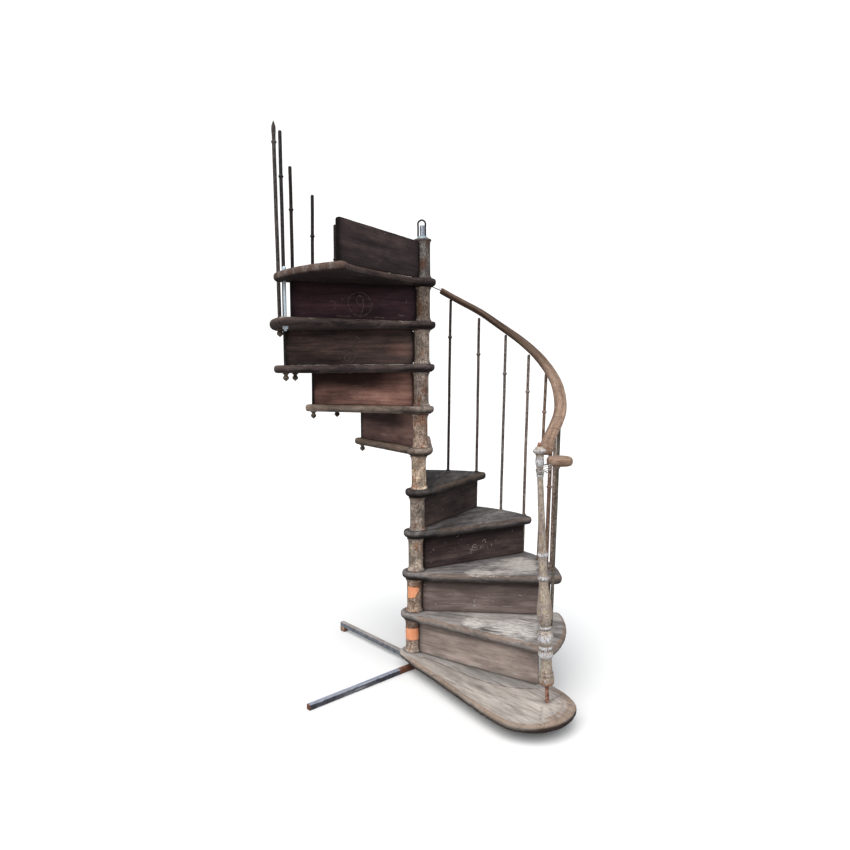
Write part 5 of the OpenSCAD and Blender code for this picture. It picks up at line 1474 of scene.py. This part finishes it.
def nw(z): return NA + (NB - NA) * (z - z1) / (NB[2] - z1)
def build_wire():
    parts = []
    wm = iron("lashing_wire", (196, 190, 182), (236, 232, 226), (170, 140, 116), rust_amt=0.2, seed=6)
    def loop(c, r, ax, ay, sx=1.0, ph0=0.0, rad_w=1.45):
        pts = []
        for a in np.arange(0, 360, 9):
            x, y = r * sx * math.cos(rad(a)), r * math.sin(rad(a)) * 0.98
            p = np.array([x, y, 0.0]) * (1 + 0.012 * math.sin(rad(a) * 5 + ph0))
            R = Matrix.Rotation(rad(ay), 3, "Y") @ Matrix.Rotation(rad(ax), 3, "X")
            q = np.array(R @ Vector(p))
            pts.append(c + q)
        parts.append(tube(pts, rad_w, 8, closed=True))
    loop(nw(1082) + np.array([21.0, 0, 2]), 38.5, 8, -16)
    loop(nw(1090) + np.array([22.0, 0, 3]), 39.5, -6, -21)
    loop(nw(1086) + np.array([21.5, 0, 3]), 38.8, 3, -25, 0.99, 2.0)
    # two small turns round the neck of the newel
    for k, z in enumerate((1064, 1069)):
        loop(nw(z), 16.4, 6 - 9 * k, 5, 1.0, k)
    # the twisted ends
    tw = []
    a, b = nw(1078) + np.array([13.0, -22, -2]), nw(1078) + np.array([30.0, -34, -12])
    for sgn in (0, math.pi):
        pts = []
        for t in np.linspace(0, 1, 30):
            p = a + (b - a) * t
            an = t * math.pi * 7 + sgn
            pts.append(p + np.array([0.4, 1.0, 0]) / 1.08 * 1.7 * math.cos(an) + np.array([0, 0, 1.0]) * 1.7 * math.sin(an))
        parts.append(tube(pts, 1.3, 8))
    pts = [b, b + [4, -2, -6], b + [3, -3, -13], b + [-2, -2, -17]]
    parts.append(tube(catmull(pts, 5), 1.25, 8))
    V, F = join(parts)
    obj("lashing_wire_twisted", V, F, wm, ["wire_lashing"])
build_wire()

# -------------------------------------------------------------------- base
def base_mat(name, side, top, rust, seed=0.0, spot=0.0):
    g = G(name)
    k = gk(name, KW)
    L = (seed, 0, 0)
    a = g.noise(g.map((0.03, 0.03, 0.03), 0, L), 5, 0.65)
    b = g.noise(g.map((0.0045, 0.0045, 0.0045), 0, L), 5, 0.7)
    st = g.noise(g.map((0.05, 0.003, 0.003), rad(42 if seed < 2 else 130), L), 4, 0.6)
    # faces turned up take the lighter colour: painted light on the tops, streaked with scratches
    geo = g.n("ShaderNodeNewGeometry")
    sep = g.n("ShaderNodeSeparateXYZ")
    g.put(sep.inputs[0], geo.outputs["Normal"])
    upm = g.rng(sep.outputs[2], 0.35, 0.85)
    S = g.mix(g.rng(a, 0.4, 0.62), srgb(*side, k), srgb(*[c * 1.28 for c in side], k))
    T = g.mix(g.rng(st, 0.42, 0.62), srgb(*top, k), srgb(*[min(255, c * 1.3) for c in top], k))
    col = g.mix(upm, S, T)
    col = g.mix(g.rng(b, 0.66, 0.74, 0.0, 0.5), col, srgb(176, 178, 184, k))
    rubbed = g.math("MULTIPLY", g.attr("edge"), g.rng(g.math("ADD", g.math("MULTIPLY", a, 0.5), g.math("MULTIPLY", b, 0.5)), 0.46, 0.58))
    col = g.mix(rubbed, col, srgb(188, 188, 192, k))
    scr = g.math("MULTIPLY", g.attr("wear"), g.rng(g.math("ADD", g.math("MULTIPLY", st, 0.6), g.math("MULTIPLY", b, 0.4)), 0.44, 0.56))
    col = g.mix(scr, col, srgb(214, 214, 218, k))
    rm = g.rng(g.math("ADD", g.attr("dark"), g.math("MULTIPLY", g.math("SUBTRACT", b, 0.5), 1.6)), 0.35, 0.7)
    rc = g.ramp(b, [(0.35, srgb(rust[0] * .55, rust[1] * .45, rust[2] * .45, k)), (0.5, srgb(*rust, k)), (0.68, srgb(rust[0] * 1.25, rust[1] * 1.3, rust[2] * 1.4, k))])
    col = g.mix(rm, col, rc)
    nb = g.bump(g.math("ADD", g.math("MULTIPLY", b, 0.6), g.math("MULTIPLY", rm, 0.5)), 0.0012, 0.6)
    return g.done(col, g.rng(g.math("ADD", b, g.math("MULTIPLY", rm, 0.3)), 0.3, 0.8, 0.4, 0.8), nb, spec=0.35)

def bar_mesh(ang, half, off, z0, wdt=bar, n=120):
    u, v = unit(ang), nrm(ang)
    r = 2.6
    sec = []
    for cxs, czs, a0 in ((1, 1, 0), (-1, 1, 90), (-1, -1, 180), (1, -1, 270)):
        for a in (0, 22.5, 45, 67.5, 90):
            sec.append(((wdt / 2 - r) * cxs + r * math.cos(rad(a0 + a)), (wdt / 2 - r) * czs + r * math.sin(rad(a0 + a))))
    # points on the flats
    full = []
    for k in range(len(sec)):
        p, q = sec[k], sec[(k + 1) % len(sec)]
        full.append(p)
        if math.hypot(q[0] - p[0], q[1] - p[1]) > 6:
            for f in (0.12, 0.5, 0.88):
                full.append((p[0] + (q[0] - p[0]) * f, p[1] + (q[1] - p[1]) * f))
    sec = np.array(full)
    S = np.r_[-half, -half + .6, -half + 1.8, np.linspace(-half + 6, half - 6, n), half - 1.8, half - .6, half]
    rings, al, aw, ah = [], [], [], []
    for s in S:
        e = min(s + half, half - s)
        f = 1 - 0.10 * (1 - min(1.0, e / 1.8)) ** 2
        c = u * s + v * off
        wob = fbm(np.array([[s, ang, 0]]), 1 / 70.0, 2, 1)[0] * 0.25
        R3 = np.c_[c[0] + v[0] * sec[:, 0] * f, c[1] + v[1] * sec[:, 0] * f, z0 + wdt / 2 + sec[:, 1] * f]
        rings.append(R3)
        al.append(np.full(len(sec), s)); aw.append(sec[:, 0]); ah.append(sec[:, 1])
    V, F = loft(rings)
    s, w, h = np.concatenate(al), np.concatenate(aw), np.concatenate(ah)
    corner = np.minimum(wdt / 2 - np.abs(w), wdt / 2 - np.abs(h)) < 0.01
    edge = ((np.abs(w) > wdt / 2 - 3) & (np.abs(h) > wdt / 2 - 3)).astype(float)
    return V, F, s, w, h, edge

def build_base():
    V, F, s, w, h, edge = bar_mesh(42, bar_half, -16.0, 0)
    rust = 0.95 * np.exp(-(bar_half - np.abs(s)) / 5.0) + 0.95 * np.exp(-(np.maximum(np.abs(s) - 95, 0)) / 16.0)
    scr = 1.0 * np.exp(-((s + 372) / 74.0) ** 2) * (w < -4) * np.exp(-((h + 5) / 7.0) ** 2) + 0.3 * np.exp(-((s + 430) / 120.0) ** 2) * (h > 8)
    obj("base_bar_lower", V, F, base_mat("bar_paint_low", (62, 62, 70), (128, 132, 146), (126, 82, 62), 0.0),
        ["base_bar_low"], dict(edge=edge * 0.8, wear=scr, dark=rust), sharp=45)
    V, F, s, w, h, edge = bar_mesh(130, bar_half_high, -10.0, bar)
    rust = 0.95 * np.exp(-(bar_half_high - np.abs(s)) / 9.0) + 0.42 * (h > 9) * (0.6 + 0.4 * np.sin(s / 37.0))
    scr = 1.0 * np.exp(-(((s - 250) / 11.0) ** 2 + ((w + 8) / 5.0) ** 2)) * (h > 8)
    obj("base_bar_upper", V, F, base_mat("bar_paint_high", (108, 110, 118), (158, 150, 144), (140, 108, 88), 3.0),
        ["base_bar_high"], dict(edge=edge * 0.6, wear=scr, dark=rust), sharp=45)
    u, v = unit(130), nrm(130)
    parts = []
    at = []
    for sg in (-1, 1):
        c = u * (sg * (bar_half_high - 20)) + v * (-10)
        r = 1.8
        rings = []
        for z, k in ((0, 0.93), (0.7, 0.975), (2.2, 1.0), (8, 1), (14, 1), (20, 1.0), (23, 1.0), (24.4, 0.985), (25, 0.97)):
            ring = []
            for a0, cu, cv in ((0, 1, 1), (90, -1, 1), (180, -1, -1), (270, 1, -1)):
                for a in (0, 30, 60, 90):
                    uu = ((18 - r) * cu + r * math.cos(rad(a0 + a))) * k
                    vv = ((14.5 - r) * cv + r * math.sin(rad(a0 + a))) * k
                    p = c + u * uu + v * vv
                    ring.append((p[0], p[1], z))
            rings.append(np.array(ring))
        parts.append(loft(rings))
    V, F = join(parts)
    obj("base_feet_welded", V, F, iron("foot_rust", (96, 62, 46), (140, 112, 90), (70, 40, 30), rust_amt=0.6, rough=(0.7, 0.9), seed=11),
        ["base_feet"], dict(rim=np.zeros(len(V))))
build_base()

# ---------------------------------------------------- floor, light, finish
def stage():
    me = bpy.data.meshes.new("studio_floor")
    me.from_pydata([(-40, -40, -0.0005), (40, -40, -0.0005), (40, 40, -0.0005), (-40, 40, -0.0005)], [], [(0, 1, 2, 3)])
    ob = bpy.data.objects.new("studio_floor", me)
    SC.collection.objects.link(ob)
    m = bpy.data.materials.new("floor_pale")
    m.use_nodes = True
    t = m.node_tree
    b = t.nodes["Principled BSDF"]
    b.inputs["Roughness"].default_value = 0.95
    b.inputs["Specular IOR Level"].default_value = 0.05
    # seen pale, but it throws little light back up under the treads
    lp = t.nodes.new("ShaderNodeLightPath")
    mx = t.nodes.new("ShaderNodeMix")
    mx.data_type = "RGBA"
    t.links.new(lp.outputs["Is Camera Ray"], mx.inputs[0])
    mx.inputs[6].default_value = (0.30, 0.29, 0.28, 1)
    mx.inputs[7].default_value = (0.98, 0.975, 0.965, 1)
    t.links.new(mx.outputs[2], b.inputs["Base Color"])
    me.materials.append(m)
    w = bpy.data.worlds.new("studio_world")
    SC.world = w
    w.use_nodes = True
    t = w.node_tree
    bg = t.nodes["Background"]
    lp = t.nodes.new("ShaderNodeLightPath")
    mx = t.nodes.new("ShaderNodeMix")
    mx.data_type = "RGBA"
    t.links.new(lp.outputs["Is Camera Ray"], mx.inputs[0])
    mx.inputs[6].default_value = (0.47, 0.49, 0.52, 1)
    mx.inputs[7].default_value = (1.15, 1.15, 1.15, 1)
    t.links.new(mx.outputs[2], bg.inputs[0])
    bg.inputs[1].default_value = 1.0
    for name, d, angle, power, col in (("key", (0.30, 0.62, -1.0), 70, 2.75, (1.0, 0.985, 0.965)),
                                       ("fill", (-0.75, 0.8, -0.35), 80, 0.55, (0.95, 0.97, 1.0))):
        l = bpy.data.lights.new(name, "SUN")
        l.angle = rad(angle)
        l.energy = power
        l.color = col
        o = bpy.data.objects.new(name, l)
        o.location = (-d[0] * 4, -d[1] * 4, 4)
        o.rotation_euler = Vector(d).to_track_quat("-Z", "Y").to_euler()
        SC.collection.objects.link(o)
    SC.view_settings.view_transform = "Standard"
    SC.view_settings.look = "None"
stage()
